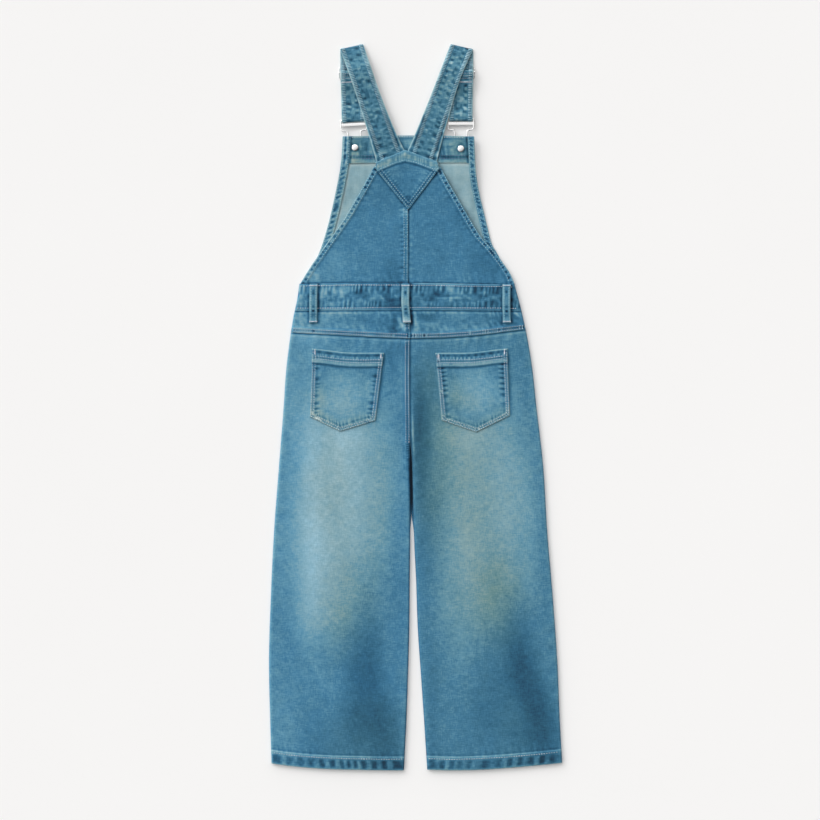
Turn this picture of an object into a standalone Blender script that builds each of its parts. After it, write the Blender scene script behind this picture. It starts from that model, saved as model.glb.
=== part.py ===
"""Kids dungarees laid flat, face down, so that the back is up.

Metres, +Z up. The origin is the middle of the footprint, on the floor. +Y runs up the body to the
shoulder straps, and left and right are as seen from above. Sizes below are in millimetres. Each cut
piece is a thin closed wall of cloth, 0.3 mm clear of its neighbours. The front pieces lie on the
floor, the back pieces lie on them, and both roll towards each other along the side seams.
"""

import math
from bisect import bisect_right
from collections import namedtuple

import bpy
import numpy as np

MILLIMETRE = 0.001

# Cloth
WALL = 1.2  # one layer of denim
BAND_WALL = 2.4  # a doubled band, and the turned-up hems
STRAP_WALL = 1.6
LOOP_WALL = 1.8
GAP = 0.3  # between neighbouring pieces

# Heights above the floor
TROUSER_TOP = 5.0
YOKE_TOP = 5.3
WAISTBAND_TOP = 5.9
SEAM_LEVEL = 2.5  # where back and front meet along the sides
BACK_BIB_UNDERSIDE = 3.1
ROLL = 3.0  # how far in from the side the cloth starts to roll over

# Seams and hems
HEM_DEPTH = 17.5
LAP = 5.6  # width of a felled seam
LAP_RISE = 0.7
EDGE_BAND = 8.0  # the back bib's turned armhole edge
EDGE_RISE = 0.8
BIB_BAND_LEFT = 11.5  # the front bib's turned side edges
BIB_BAND_RIGHT = 9.5
POCKET_HEM = 19.0
STEP = 1.2  # run of the slope at the edge of a raised band

# Side edges, from the hem up: y, left x, right x
TROUSER_SIDES = (
    (-510, -202.0, 205.8),
    (-444, -204.0, 202.0),
    (-355, -205.8, 198.2),
    (-265, -203.2, 191.8),
    (-175, -198.8, 184.2),
    (-85, -192.0, 178.6),
    (4, -185.0, 168.6),
    (49, -182.0, 163.8),
    (94, -176.6, 156.8),
    (127, -171.4, 149.8),
    (150, -166.4, 144.2),
    (174, -163.0, 137.6),
)
BACK_BIB_SIDES = (
    (172, -162.2, 138.4),
    (188, -152.8, 131.4),
    (217, -133.4, 110.2),
    (238, -118.2, 91.6),
    (265, -99.6, 74.6),
    (288, -85.8, 61.4),
    (311, -72.6, 47.8),
    (334, -59.6, 35.2),
    (356, -46.0, 23.0),
)
FRONT_BIB_SIDES = (
    (172, -160.4, 136.0),
    (185, -152.6, 130.6),
    (200, -142.8, 122.2),
    (217, -135.2, 113.0),
    (228, -131.2, 106.6),
    (251, -124.2, 100.6),
    (273, -118.6, 95.4),
    (295, -113.6, 90.0),
    (321, -108.2, 85.2),
    (346, -104.4, 83.2),
    (381, -102.4, 81.6),
)

# Inner edges of the back legs, from the hem up: y, right edge of the left leg, left edge of the right
BACK_INSEAMS = (
    (-510, -16.8, 16.0),
    (-444, -13.4, 11.8),
    (-377, -11.0, 7.2),
    (-309, -9.2, 2.6),
    (-242, -8.6, 0.3),
    (-197, -8.0, -2.0),
    (-148, -7.9, -3.6),
    (-90, -8.0, -5.0),
    (-50, -8.4, -7.2),
    (-18, -8.55, -8.25),
    (38, -9.15, -8.85),
    (98, -8.85, -8.55),
)
# The front legs stay together down to the fork, then follow the back legs
FORK_Y = -148
FRONT_SEAM_X = -6.0
FORK_RUN = 30.0

CENTRE_SEAM_X = -10.8  # of the bib
YOKE_SEAM_X = -8.7

# Edges across the body: x, y
HEM_LEFT = ((-204, -499.0), (-175, -503.0), (-129, -506.8), (-60, -508.6), (-14, -508.9))
HEM_RIGHT = ((14, -507.8), (50, -508.9), (95, -507.8), (150, -503.8), (207, -498.2))
YOKE_SEAM = ((-176, 104.2), (-95, 100.0), (-8, 96.2), (70, 99.0), (156, 109.0))
WAIST_LOW = ((-170, 134.4), (-8, 135.4), (147, 134.2))
WAIST_HIGH = ((-164, 172.4), (-90, 173.8), (0, 173.6), (139, 171.2))
FRONT_BIB_TOP = ((-102, 378.6), (-10, 380.4), (82, 378.4))
FACING_LOW = ((-102, 340.4), (-10, 341.6), (82, 341.0))
BACK_BIB_TOP = ((-57, 335.6), (-15.0, 351.0), (32, 336.0))

# Back pockets: top, its middle and the corners of the point, as (x, y)
Pocket = namedtuple("Pocket", "top_left top_right low_left point low_right")
POCKETS = {
    "left": Pocket((-145.2, 81.6), (-44.8, 75.6), (-148.0, -14.2), (-106.0, -34.4), (-56.6, -19.2)),
    "right": Pocket((27.4, 75.4), (128.0, 81.8), (36.2, -18.8), (84.6, -35.4), (131.6, -12.0)),
}
POCKET_TOP_DIP = 2.4

# Belt loops: x of the middle at the top, half way down and at the bottom
LOOP_WIDTH = 11.2
LOOP_HIGH = 172.0
LOOP_LOW = 117.4
LOOPS = {
    "left": (-143.0, -143.4, -143.6),
    "centre": (-14.4, -14.7, -12.4),
    "right": (127.0, 126.6, 127.4),
}

# The keystone: corners as (x, y)
KEYSTONE_APEX = (-15.0, 359.6)
KEYSTONE_POINT = (-10.4, 276.4)
KEYSTONE_LEFT = ((-57.2, 333.8), (-55.0, 342.2))  # lower and upper end of the short left edge
KEYSTONE_RIGHT = ((33.0, 333.4), (29.6, 342.8))

# Bib buttons
BUTTONS = {"left": (-85.0, 362.7), "right": (63.0, 361.1)}
BUTTON_HEAD_RADIUS = 8.5
BUTTON_HEAD = 2.3
BUTTON_NECK_RADIUS = 2.4
CAP_RADIUS = 4.6
CAP_HEIGHT = 1.5

# The metal under the front bib lifts its top corners
CORNER_LIFT = 5.5
MIDDLE_LIFT = 1.9
RAMP = (262.0, 350.0)

# Straps: both edges of the back part as (x, y), from the keystone up to the fold
Strap = namedtuple("Strap", "left_edge right_edge")
STRAPS = {
    "left": Strap(
        ((-54.6, 341.0), (-67.8, 386.5), (-85.5, 442.3), (-106.4, 501.6)),
        ((-14.4, 355.6), (-29.0, 386.5), (-50.0, 439.0), (-73.8, 508.6)),
    ),
    "right": Strap(
        ((-12.6, 355.8), (-3.3, 376.8), (14.0, 418.5), (33.6, 468.5), (48.6, 508.6)),
        ((29.3, 341.0), (33.4, 359.0), (44.7, 400.5), (61.6, 456.3), (80.4, 501.4)),
    ),
}
FOLD_RADIUS = 1.15
STRAP_HALF = 16.5
# Least height of the back part of a strap: share of the way up from the keystone, z
STRAP_BACK_HEIGHTS = (
    (0.00, 5.0),
    (0.17, 7.0),
    (0.28, 8.1),
    (0.38, 8.1),
    (0.50, 7.6),
    (0.64, 8.5),
    (0.72, 9.9),
    (0.79, 9.9),
    (0.90, 5.6),
    (1.00, 3.1),
)
# The strap's run down the front, by distance from the fold: to the buckle's bar, then back up
STRAP_DOWN_HEIGHTS = (
    (2, 0.8),
    (14, 0.8),
    (27, 2.5),
    (46, 2.5),
    (62, 0.8),
    (88, 0.8),
    (100, 1.7),
)
STRAP_UP_HEIGHTS = (
    (100, 6.1),
    (80, 3.6),
    (68, 3.6),
    (52, 6.3),
    (46, 6.6),
    (38, 8.0),
)
STRAP_TAIL = (38, 50, 4.4)  # the stitched end under it: from, to, height
STRAP_ON_BIB = 3.9  # above the front bib, where it lies on the facing

# Slider, along the strap from the fold
SLIDER_AT = 36.4
SLIDER_HALF_WIDTH = 18.2
SLIDER_HALF_LENGTH = 8.0
SLIDER_CORNER = 2.0
SLIDER_WIRE = 0.7
SLIDER_ARCH = 6.2  # height of its middle bar

# Buckle
BUCKLE_WIRE = 1.1
BUCKLE_LEVEL = 3.9
BUCKLE_TILT = {"left": 3.5, "right": 0.0}  # degrees
NECK_IN_SLOT = {"left": 2.6, "right": -0.2}  # how far up the buckle's slot the button's neck is
BUCKLE_BAR_AT = 42.0  # the bar inside the strap's loop, above the slot's round end
CROSS_BAR_AT = 35.2
CROSS_BAR = (17.9, 2.4, 0.8)  # half width, half height and half thickness
# Half of the wire's outline: distance from its middle line, distance above the slot's round end
BUCKLE_HALF = (
    (17.9, 42.0),
    (17.9, 30.0),
    (17.2, 27.6),
    (14.6, 27.0),
    (10.6, 26.8),
    (9.0, 25.0),
    (8.8, 20.0),
    (8.9, 13.0),
    (8.0, 9.6),
    (5.6, 6.8),
    (4.2, 4.4),
    (4.0, 0.0),
    (2.8, -2.8),
    (0.0, -4.0),
)


def smooth(rows, at, column=1):
    """One column of a table at a place between its rows, on a smooth curve through them."""
    rows = sorted(rows)
    knots = [row[0] for row in rows]
    values = [row[column] for row in rows]
    at = min(max(at, knots[0]), knots[-1])
    i = min(bisect_right(knots, at) - 1, len(knots) - 2)

    def slope(k):
        low, high = max(k - 1, 0), min(k + 1, len(knots) - 1)
        return (values[high] - values[low]) / (knots[high] - knots[low])

    run = knots[i + 1] - knots[i]
    t = (at - knots[i]) / run
    from_start = values[i] * (1 + 2 * t) + slope(i) * run * t
    from_end = values[i + 1] * (3 - 2 * t) + slope(i + 1) * run * (t - 1)
    return from_start * (1 - t) ** 2 + from_end * t**2


def eased(rows, at, column=1):
    """The same, but level at every row, so that it never passes a row's own value."""
    rows = sorted(rows)
    knots = [row[0] for row in rows]
    at = min(max(at, knots[0]), knots[-1])
    i = min(bisect_right(knots, at) - 1, len(knots) - 2)
    low, high = rows[i], rows[i + 1]
    return low[column] + (high[column] - low[column]) * fade(at, low[0], high[0])


def straight(rows, at, column=1):
    """One column of a table at a place between its rows, on straight lines."""
    rows = sorted(rows)
    return float(np.interp(at, [row[0] for row in rows], [row[column] for row in rows]))


def fade(value, start, end):
    """0 before start and 1 after end, with a smooth turn between."""
    t = min(max((value - start) / (end - start), 0), 1)
    return t * t * (3 - 2 * t)


def hump(value, middle, reach):
    """1 at the middle and 0 beyond its reach on both sides."""
    return 1 - fade(abs(value - middle), 0, reach)


# ---- materials -------------------------------------------------------------------------------


def material(name, colour, roughness, metallic=0.0):
    made = bpy.data.materials.new(name)
    made.use_nodes = True
    shader = made.node_tree.nodes["Principled BSDF"]
    shader.inputs["Base Color"].default_value = (*colour, 1)
    shader.inputs["Roughness"].default_value = roughness
    shader.inputs["Metallic"].default_value = metallic
    made.diffuse_color = (*colour, 1)
    return made


# ---- heights of the lying cloth ----------------------------------------------------------------


def bib_lift(x, y):
    """How far the metal under its top corners holds the front bib off the floor."""
    left, right = BUTTONS["left"][0], BUTTONS["right"][0]
    half = (right - left) / 2
    from_middle = min(abs(x - (left + right) / 2), half)
    across = MIDDLE_LIFT + (CORNER_LIFT - MIDDLE_LIFT) * (1 - math.cos(math.pi * from_middle / half)) / 2
    return across * fade(y, *RAMP)


def back_bib_top(x, y):
    return BACK_BIB_UNDERSIDE + WALL + bib_lift(x, y)


def back_leg_top(x, y):
    """The seat and legs, with the drag folds beside the fork."""
    ridge = 0.5 * hump(x, -5.0, 5) * hump(y, -38, 75)
    trough = -0.8 * hump(x, 6.0, 11) * hump(y, -30, 80)
    left_trough = -0.5 * hump(x, -20, 12) * hump(y, -40, 70)
    slack = 0.35 * hump(x, -105, 60) * hump(y, -330, 150) + 0.35 * hump(x, 90, 60) * hump(y, -360, 150)
    return TROUSER_TOP + ridge + trough + left_trough + slack


# ---- walls of cloth --------------------------------------------------------------------------

# A station is a place between two edges: share of the middle stretch, inset from the edge, the edge
# it belongs to (-1, 0 or 1), and how far the cloth has rolled there (0 at the edge, 1 when flat).
Station = namedtuple("Station", "share inset edge rolled")
Outline = namedtuple("Outline", "left right bottom top middle", defaults=(None,))
ROLL_ANGLES = (0, 25, 55, 90)


def rolled_insets():
    """Stations round a rolled edge, as (inset, rolled)."""
    angles = [math.radians(a) for a in ROLL_ANGLES]
    return [(ROLL * (1 - math.cos(a)), math.sin(a)) for a in angles]


def flat_insets(*insets):
    return [(inset, 1.0) for inset in insets]


def stations(start, count, end):
    """Stations at the start's and the end's insets, and count more spread between them."""
    first = [Station(0, inset, -1, rolled) for inset, rolled in start]
    between = [Station((i + 1) / (count + 1), 0, 0, 1.0) for i in range(count)]
    last = [Station(1, inset, 1, rolled) for inset, rolled in reversed(end)]
    return first + between + last


def place(station, low, high, start_inset, end_inset, middle=None):
    if station.edge < 0:
        return low + station.inset
    if station.edge > 0:
        return high - station.inset
    low, high = low + start_inset, high - end_inset
    if middle is None:
        return low + station.share * (high - low)
    if station.share < 0.5:
        return low + 2 * station.share * (middle - low)
    return middle + (2 * station.share - 1) * (high - middle)


def lattice(outline, across, along):
    """The (x, y) of every station pair, row by row from the bottom."""
    widest = [max((s.inset for s in across if s.edge == side), default=0) for side in (-1, 1)]
    longest = [max((s.inset for s in along if s.edge == side), default=0) for side in (-1, 1)]
    rows = []
    for row in along:
        points = []
        for column in across:
            y = (outline.bottom(0) + outline.top(0)) / 2
            for _ in range(6):
                middle = outline.middle(y) if outline.middle else None
                x = place(column, outline.left(y), outline.right(y), *widest, middle)
                y = place(row, outline.bottom(x), outline.top(x), *longest)
            points.append((x, y))
        rows.append(points)
    return rows


def closed_wall(name, top, bottom, finish):
    """One closed body between two grids of points of the same size, in millimetres."""
    rows, columns = len(top), len(top[0])
    points = [p for row in top for p in row] + [p for row in bottom for p in row]
    under = rows * columns

    def at(row, column):
        return row * columns + column

    faces = []
    for r in range(rows - 1):
        for c in range(columns - 1):
            quad = (at(r, c), at(r, c + 1), at(r + 1, c + 1), at(r + 1, c))
            faces.append(quad)
            faces.append(tuple(under + i for i in reversed(quad)))
    rim = [at(0, c) for c in range(columns)]
    rim += [at(r, columns - 1) for r in range(1, rows)]
    rim += [at(rows - 1, c) for c in range(columns - 2, -1, -1)]
    rim += [at(r, 0) for r in range(rows - 2, 0, -1)]
    for a, b in zip(rim, rim[1:] + rim[:1]):
        faces.append((b, a, under + a, under + b))
    return mesh_object(name, points, faces, finish)


def mesh_object(name, points, faces, finish):
    mesh = bpy.data.meshes.new(name)
    mesh.from_pydata([[value * MILLIMETRE for value in p] for p in points], [], faces)
    mesh.shade_smooth()
    mesh.set_sharp_from_angle(angle=math.radians(35))
    mesh.materials.append(finish)
    made = bpy.data.objects.new(name, mesh)
    bpy.context.scene.collection.objects.link(made)
    return made


def flat(x, y):
    return 0.0


def back_piece(
    name, outline, across, along, top, finish, wall=WALL, roll=flat, raise_by=flat, deepen_by=flat
):
    """A piece of the upper layer.

    top(x, y) is the height of its outer face. roll(x, y) says how much its side edges roll down to
    the seam, from 0 to 1. raise_by and deepen_by thicken it outwards and inwards, by x and y.
    """
    outer, inner = [], []
    for points in lattice(outline, across, along):
        outer_row, inner_row = [], []
        for (x, y), column in zip(points, across):
            rise = raise_by(x, y)
            thick = wall + rise + deepen_by(x, y)
            high = top(x, y) + rise
            turn = roll(x, y) if column.rolled < 1 or column.inset == ROLL else 0
            drop = turn * (high - SEAM_LEVEL - GAP / 2)
            inner_drop = max(drop - turn * thick, 0)
            outer_row.append((x, y, high - drop * (1 - column.rolled)))
            shift = turn * thick * cosine(column.rolled)
            inner_row.append((x - column.edge * shift, y, high - thick - inner_drop * (1 - column.rolled)))
        outer.append(outer_row)
        inner.append(inner_row)
    return closed_wall(name, outer, inner, finish)


def front_piece(name, outline, across, along, finish, wall=WALL, roll=flat, under=flat, deepen_by=flat):
    """A piece of the lower layer: its outer face is under(x, y) above the floor, its side edges roll up."""
    outer, inner = [], []
    for points in lattice(outline, across, along):
        outer_row, inner_row = [], []
        for (x, y), column in zip(points, across):
            thick = wall + deepen_by(x, y)
            turn = roll(x, y) if column.rolled < 1 or column.inset == ROLL else 0
            climb = turn * (SEAM_LEVEL - GAP / 2)
            inner_climb = max(climb - turn * thick, 0)
            outer_row.append((x, y, under(x, y) + climb * (1 - column.rolled)))
            shift = turn * thick * cosine(column.rolled)
            inner_height = under(x, y) + thick + inner_climb * (1 - column.rolled)
            inner_row.append((x - column.edge * shift, y, inner_height))
        outer.append(outer_row)
        inner.append(inner_row)
    return closed_wall(name, inner, outer, finish)


def cosine(sine):
    return math.sqrt(max(1 - sine * sine, 0))


def side(table, column):
    return lambda coordinate: smooth(table, coordinate, column)


def constant(value):
    return lambda coordinate: value


def shifted(edge, by):
    return lambda coordinate: edge(coordinate) + by


TROUSER_LEFT = side(TROUSER_SIDES, 1)
TROUSER_RIGHT = side(TROUSER_SIDES, 2)
WAIST_TOP_EDGE = side(WAIST_HIGH, 1)
WAIST_BOTTOM_EDGE = side(WAIST_LOW, 1)
YOKE_EDGE = side(YOKE_SEAM, 1)


def near_edge(distance, width, rise):
    """A raised band: full height up to width from an edge, then down to nothing in a short step."""
    return rise * (1 - fade(distance, width, width + STEP))


# ---- trousers --------------------------------------------------------------------------------


def rolls_below_fork(x, y):
    """Side seams are rolled all the way down, and the inseams only from the fork."""
    middle = (BACK_INSEAMS[-1][1] + BACK_INSEAMS[-1][2]) / 2
    near_middle = abs(x - middle) < 60
    return 1 - fade(y, -72, -22) if near_middle else 1.0


def front_inseam(column):
    """The front legs' inner edges: one straight seam above the fork, the back's inner edges below."""
    sign = -1 if column == 1 else 1
    together = FRONT_SEAM_X + sign * GAP / 2

    def edge(y):
        apart = 1 - fade(y, FORK_Y - FORK_RUN, FORK_Y)
        return together + apart * (smooth(BACK_INSEAMS, y, column) - together)

    return edge


def front_rolls(x, y):
    near_middle = abs(x - FRONT_SEAM_X) < 60
    return 1 - fade(y, FORK_Y - FORK_RUN, FORK_Y) if near_middle else 1.0


def leg_outlines(which, front):
    """The outline of one leg panel: left, right, bottom and top edges."""
    hem = side(HEM_LEFT if which == "left" else HEM_RIGHT, 1)
    top = shifted(WAIST_BOTTOM_EDGE if front else YOKE_EDGE, -GAP / 2)
    inseam = front_inseam if front else (lambda column: side(BACK_INSEAMS, column))
    if which == "left":
        return Outline(TROUSER_LEFT, inseam(1), hem, top)
    return Outline(inseam(2), TROUSER_RIGHT, hem, top)


def make_legs(denim):
    for which in ("left", "right"):
        back = leg_outlines(which, front=False)
        inner = rolled_insets() + flat_insets(8, 14, 24)
        outer = rolled_insets()
        across = stations(outer, 6, inner) if which == "left" else stations(inner, 6, outer)
        along = stations(flat_insets(0, HEM_DEPTH, HEM_DEPTH + STEP), 20, flat_insets(0))

        def hem(rise, outline=back):
            return lambda x, y: near_edge(y - outline.bottom(x), HEM_DEPTH, rise)

        back_piece(
            f"leg_back_{which}", back, across, along, back_leg_top, denim,
            roll=rolls_below_fork, raise_by=hem(0.3), deepen_by=hem(0.8),
        )

        front = leg_outlines(which, front=True)
        across = stations(rolled_insets(), 2, rolled_insets())
        along = stations(flat_insets(0, HEM_DEPTH, HEM_DEPTH + STEP), 13, flat_insets(0))
        front_piece(
            f"leg_front_{which}", front, across, along, denim,
            roll=front_rolls, deepen_by=hem(0.9, front),
        )


def make_yoke(denim):
    """The back yoke: its lower edge laps over the legs, and its left half over the right one."""
    def lap(x, y):
        low_edge = near_edge(y - YOKE_EDGE(x), LAP, LAP_RISE)
        centre = near_edge(YOKE_SEAM_X - x, LAP, LAP_RISE) if x < YOKE_SEAM_X else 0
        return max(low_edge, centre)

    bottom = shifted(YOKE_EDGE, GAP / 2)
    top = shifted(WAIST_BOTTOM_EDGE, -GAP / 2)
    along = stations(flat_insets(0, LAP, LAP + STEP), 2, flat_insets(0))
    seam_insets = flat_insets(0, LAP, LAP + STEP)
    left = Outline(TROUSER_LEFT, constant(YOKE_SEAM_X - GAP / 2), bottom, top)
    right = Outline(constant(YOKE_SEAM_X + GAP / 2), TROUSER_RIGHT, bottom, top)

    def rolls(x, y):
        return 0.0 if abs(x - YOKE_SEAM_X) < 60 else 1.0

    def height(x, y):
        return YOKE_TOP

    back_piece(
        "yoke_back_left", left, stations(rolled_insets(), 5, seam_insets), along, height, denim,
        roll=rolls, raise_by=lap,
    )
    back_piece(
        "yoke_back_right", right, stations(flat_insets(0), 6, rolled_insets()), along, height, denim,
        roll=rolls, raise_by=lap,
    )


def make_waistbands(denim):
    outline = Outline(
        TROUSER_LEFT, TROUSER_RIGHT, shifted(WAIST_BOTTOM_EDGE, GAP / 2), shifted(WAIST_TOP_EDGE, -GAP / 2)
    )
    across = stations(rolled_insets(), 9, rolled_insets())
    along = stations(flat_insets(0), 3, flat_insets(0))

    def always(x, y):
        return 1.0

    def crowned(x, y):
        """The band is fullest along its middle."""
        middle = (WAIST_BOTTOM_EDGE(x) + WAIST_TOP_EDGE(x)) / 2
        return WAISTBAND_TOP - 0.3 + 0.3 * hump(y, middle, 19)

    back_piece("waistband_back", outline, across, along, crowned, denim, wall=BAND_WALL, roll=always)
    front_piece("waistband_front", outline, across, along, denim, wall=BAND_WALL, roll=always)


def make_pockets(denim):
    """Five-sided patch pockets with a turned top hem, lying on the back legs."""
    for which, pocket in POCKETS.items():
        top_line = (pocket.top_left, pocket.top_right)
        bottom_line = (pocket.low_left, pocket.point, pocket.low_right)
        left_line = [(y, x) for x, y in (pocket.low_left, pocket.top_left)]
        right_line = [(y, x) for x, y in (pocket.low_right, pocket.top_right)]
        top_middle = (pocket.top_left[0] + pocket.top_right[0]) / 2
        middle_line = ((pocket.point[1], pocket.point[0]), (pocket.top_left[1], top_middle))

        def top(x, line=top_line, middle=top_middle):
            return straight(line, x) - POCKET_TOP_DIP * hump(x, middle, 50)

        outline = Outline(
            lambda y, line=left_line: straight(line, y),
            lambda y, line=right_line: straight(line, y),
            lambda x, line=bottom_line: straight(line, x),
            top,
            lambda y, line=middle_line: straight(line, y),
        )
        across = stations(flat_insets(0), 7, flat_insets(0))
        along = stations(flat_insets(0), 5, flat_insets(0, POCKET_HEM, POCKET_HEM + STEP))

        def height(x, y):
            return back_leg_top(x, y) + GAP + WALL

        def hem(x, y, top=top):
            return near_edge(top(x) - y, POCKET_HEM, 0.6)

        back_piece(f"pocket_back_{which}", outline, across, along, height, denim, raise_by=hem)


def make_belt_loops(denim):
    """Three loops over the waistband: each steps down to the yoke and bows a little between its ends."""
    for which, middles in LOOPS.items():
        middle = [(LOOP_LOW, middles[2]), ((LOOP_LOW + LOOP_HIGH) / 2, middles[1]), (LOOP_HIGH, middles[0])]
        outline = Outline(
            lambda y, line=middle: smooth(line, y) - LOOP_WIDTH / 2,
            lambda y, line=middle: smooth(line, y) + LOOP_WIDTH / 2,
            constant(LOOP_LOW),
            constant(LOOP_HIGH),
        )

        foot = YOKE_TOP + (LAP_RISE if which == "centre" else 0)  # the middle one stands on the yoke's seam

        def height(x, y, foot=foot):
            on_band = fade(y, LOOP_LOW + 6, LOOP_LOW + 15)
            rest = foot + on_band * (WAISTBAND_TOP - foot) + GAP
            bow = 1.2 * hump(y, LOOP_LOW + 32, 24)
            return rest + bow + LOOP_WALL

        def crown(x, y, line=middle):
            return 0.3 * hump(x, smooth(line, y), LOOP_WIDTH / 2)

        back_piece(
            f"belt_loop_{which}", outline, stations(flat_insets(0), 1, flat_insets(0)),
            stations(flat_insets(0), 7, flat_insets(0)), height, denim, wall=LOOP_WALL, raise_by=crown,
        )


# ---- bib -------------------------------------------------------------------------------------


def make_back_bib(denim):
    """Two halves with a felled centre seam and turned armhole edges, and the keystone over their top."""
    left_side, right_side = side(BACK_BIB_SIDES, 1), side(BACK_BIB_SIDES, 2)
    bottom = shifted(WAIST_TOP_EDGE, GAP / 2)

    def top(x):
        return straight(BACK_BIB_TOP, x)

    def relief(x, y):
        edge = max(near_edge(x - left_side(y), EDGE_BAND, EDGE_RISE),
                   near_edge(right_side(y) - x, EDGE_BAND, EDGE_RISE))
        lap = near_edge(CENTRE_SEAM_X - x, LAP, LAP_RISE) if x < CENTRE_SEAM_X else 0
        under_keystone = fade(y, keystone_low(x) - 20, keystone_low(x) - 2)
        return max(edge, lap) * (1 - under_keystone)

    along = stations(flat_insets(0), 5, flat_insets(0, 18, 36, 54, 72, 76))
    edge_insets = flat_insets(0, EDGE_BAND, EDGE_BAND + STEP)
    lap_insets = flat_insets(0, LAP, LAP + STEP)
    left = Outline(left_side, constant(CENTRE_SEAM_X - GAP / 2), bottom, top)
    right = Outline(constant(CENTRE_SEAM_X + GAP / 2), right_side, bottom, top)
    back_piece(
        "bib_back_left", left, stations(edge_insets, 5, lap_insets), along, back_bib_top, denim,
        raise_by=relief,
    )
    back_piece(
        "bib_back_right", right, stations(flat_insets(0), 7, edge_insets), along, back_bib_top, denim,
        raise_by=relief,
    )


def keystone_low(x):
    return straight((KEYSTONE_LEFT[0], KEYSTONE_POINT, KEYSTONE_RIGHT[0]), x)


def keystone_high(x):
    return straight((KEYSTONE_LEFT[1], KEYSTONE_APEX, KEYSTONE_RIGHT[1]), x)


def make_keystone(denim):
    """The V-shaped piece over the strap ends and the bib's top, with a turned top hem."""
    sides = [
        [(y, x) for x, y in corners] for corners in (KEYSTONE_LEFT, KEYSTONE_RIGHT)
    ]
    middle = ((KEYSTONE_POINT[1], KEYSTONE_POINT[0]), (KEYSTONE_APEX[1], KEYSTONE_APEX[0]))
    outline = Outline(
        lambda y: straight(sides[0], y), lambda y: straight(sides[1], y),
        keystone_low, keystone_high, lambda y: straight(middle, y),
    )
    over_straps = 0.8

    def height(x, y):
        rise = over_straps * fade(y, keystone_high(x) - 30, keystone_high(x) - 18)
        return back_bib_top(x, y) + rise + GAP + WALL

    def hem(x, y):
        return near_edge(keystone_high(x) - y, 12.0, 0.5)

    across = stations(flat_insets(0), 7, flat_insets(0))
    along = stations(flat_insets(0), 4, flat_insets(0, 3.5, 7.0))
    back_piece("bib_keystone", outline, across, along, height, denim, raise_by=hem)


def make_front_bib(denim, wrong_side):
    """The front bib with its facing and turned side bands on the inner, upward side."""
    left_side, right_side = side(FRONT_BIB_SIDES, 1), side(FRONT_BIB_SIDES, 2)
    bottom, top = shifted(WAIST_TOP_EDGE, GAP / 2), side(FRONT_BIB_TOP, 1)
    panel = Outline(left_side, right_side, bottom, top)
    front_piece(
        "bib_front", panel, stations(flat_insets(0), 9, flat_insets(0)),
        stations(flat_insets(0), 12, flat_insets(0)), wrong_side, under=bib_lift,
    )

    def on_panel(x, y):
        return bib_lift(x, y) + WALL + GAP

    left_inner, right_inner = shifted(left_side, BIB_BAND_LEFT), shifted(right_side, -BIB_BAND_RIGHT)
    strips = {
        "bib_band_left": Outline(left_side, left_inner, bottom, top),
        "bib_band_right": Outline(right_inner, right_side, bottom, top),
    }
    for name, outline in strips.items():
        front_piece(
            name, outline, stations(flat_insets(0), 1, flat_insets(0)),
            stations(flat_insets(0), 12, flat_insets(0)), denim, under=on_panel,
        )
    facing = Outline(
        shifted(left_inner, GAP), shifted(right_inner, -GAP), side(FACING_LOW, 1), top
    )
    front_piece(
        "bib_facing", facing, stations(flat_insets(0), 10, flat_insets(0)),
        stations(flat_insets(0), 3, flat_insets(0)), denim, under=on_panel,
    )


# ---- straps ----------------------------------------------------------------------------------

Rung = namedtuple("Rung", "left right")  # one cross line of a strap, from (x, y, z) to (x, y, z)


def level_rung(left, right, height):
    return Rung(np.array([*left, height]), np.array([*right, height]))


def turned_by(vector, degrees):
    angle = math.radians(degrees)
    x, y = vector
    return np.array((x * math.cos(angle) - y * math.sin(angle), x * math.sin(angle) + y * math.cos(angle)))


def on_buckle(which, across, along):
    """A point of a buckle, from its middle line and its slot's round end."""
    tilt = BUCKLE_TILT[which]
    slot_end = np.array(BUTTONS[which]) - turned_by((0, NECK_IN_SLOT[which]), tilt)
    return slot_end + turned_by((across, along), tilt)


class FrontRun:
    """Where a strap runs down the front: distance below the fold, across it, and height."""

    def __init__(self, which):
        left, right = (np.array(edge[-1]) for edge in STRAPS[which])
        bar = on_buckle(which, 0, BUCKLE_BAR_AT)
        self.top = (left + right) / 2
        self.fold_direction = (right - left) / np.linalg.norm(right - left)
        self.bar_at = float(np.linalg.norm(bar - self.top))
        self.down = (bar - self.top) / self.bar_at
        self.across = turned_by((1, 0), BUCKLE_TILT[which])

    def point(self, distance, sideways=0.0):
        return self.top + self.down * distance + self.across * sideways

    def rung(self, distance, height):
        """One cross line of the strap, which turns from the fold's direction to the buckle's."""
        square = fade(distance, 0, 24)
        across = self.fold_direction * (1 - square) + self.across * square
        across /= np.linalg.norm(across)
        middle = self.point(distance)
        return level_rung(middle - across * STRAP_HALF, middle + across * STRAP_HALF, height)

    def rungs_round(self, at, level, radius, start, end):
        """Rungs round a bar at a distance below the fold, through angles in degrees."""
        made = []
        for angle in np.radians(np.linspace(start, end, 7)):
            made.append(self.rung(at + radius * math.cos(angle), level + radius * math.sin(angle)))
        return made


def by_length(edge):
    """An edge as (share of its length, x, y) rows."""
    steps = [math.dist(a, b) for a, b in zip(edge, edge[1:])]
    total = sum(steps)
    return [(sum(steps[:i]) / total, *point) for i, point in enumerate(edge)]


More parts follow.
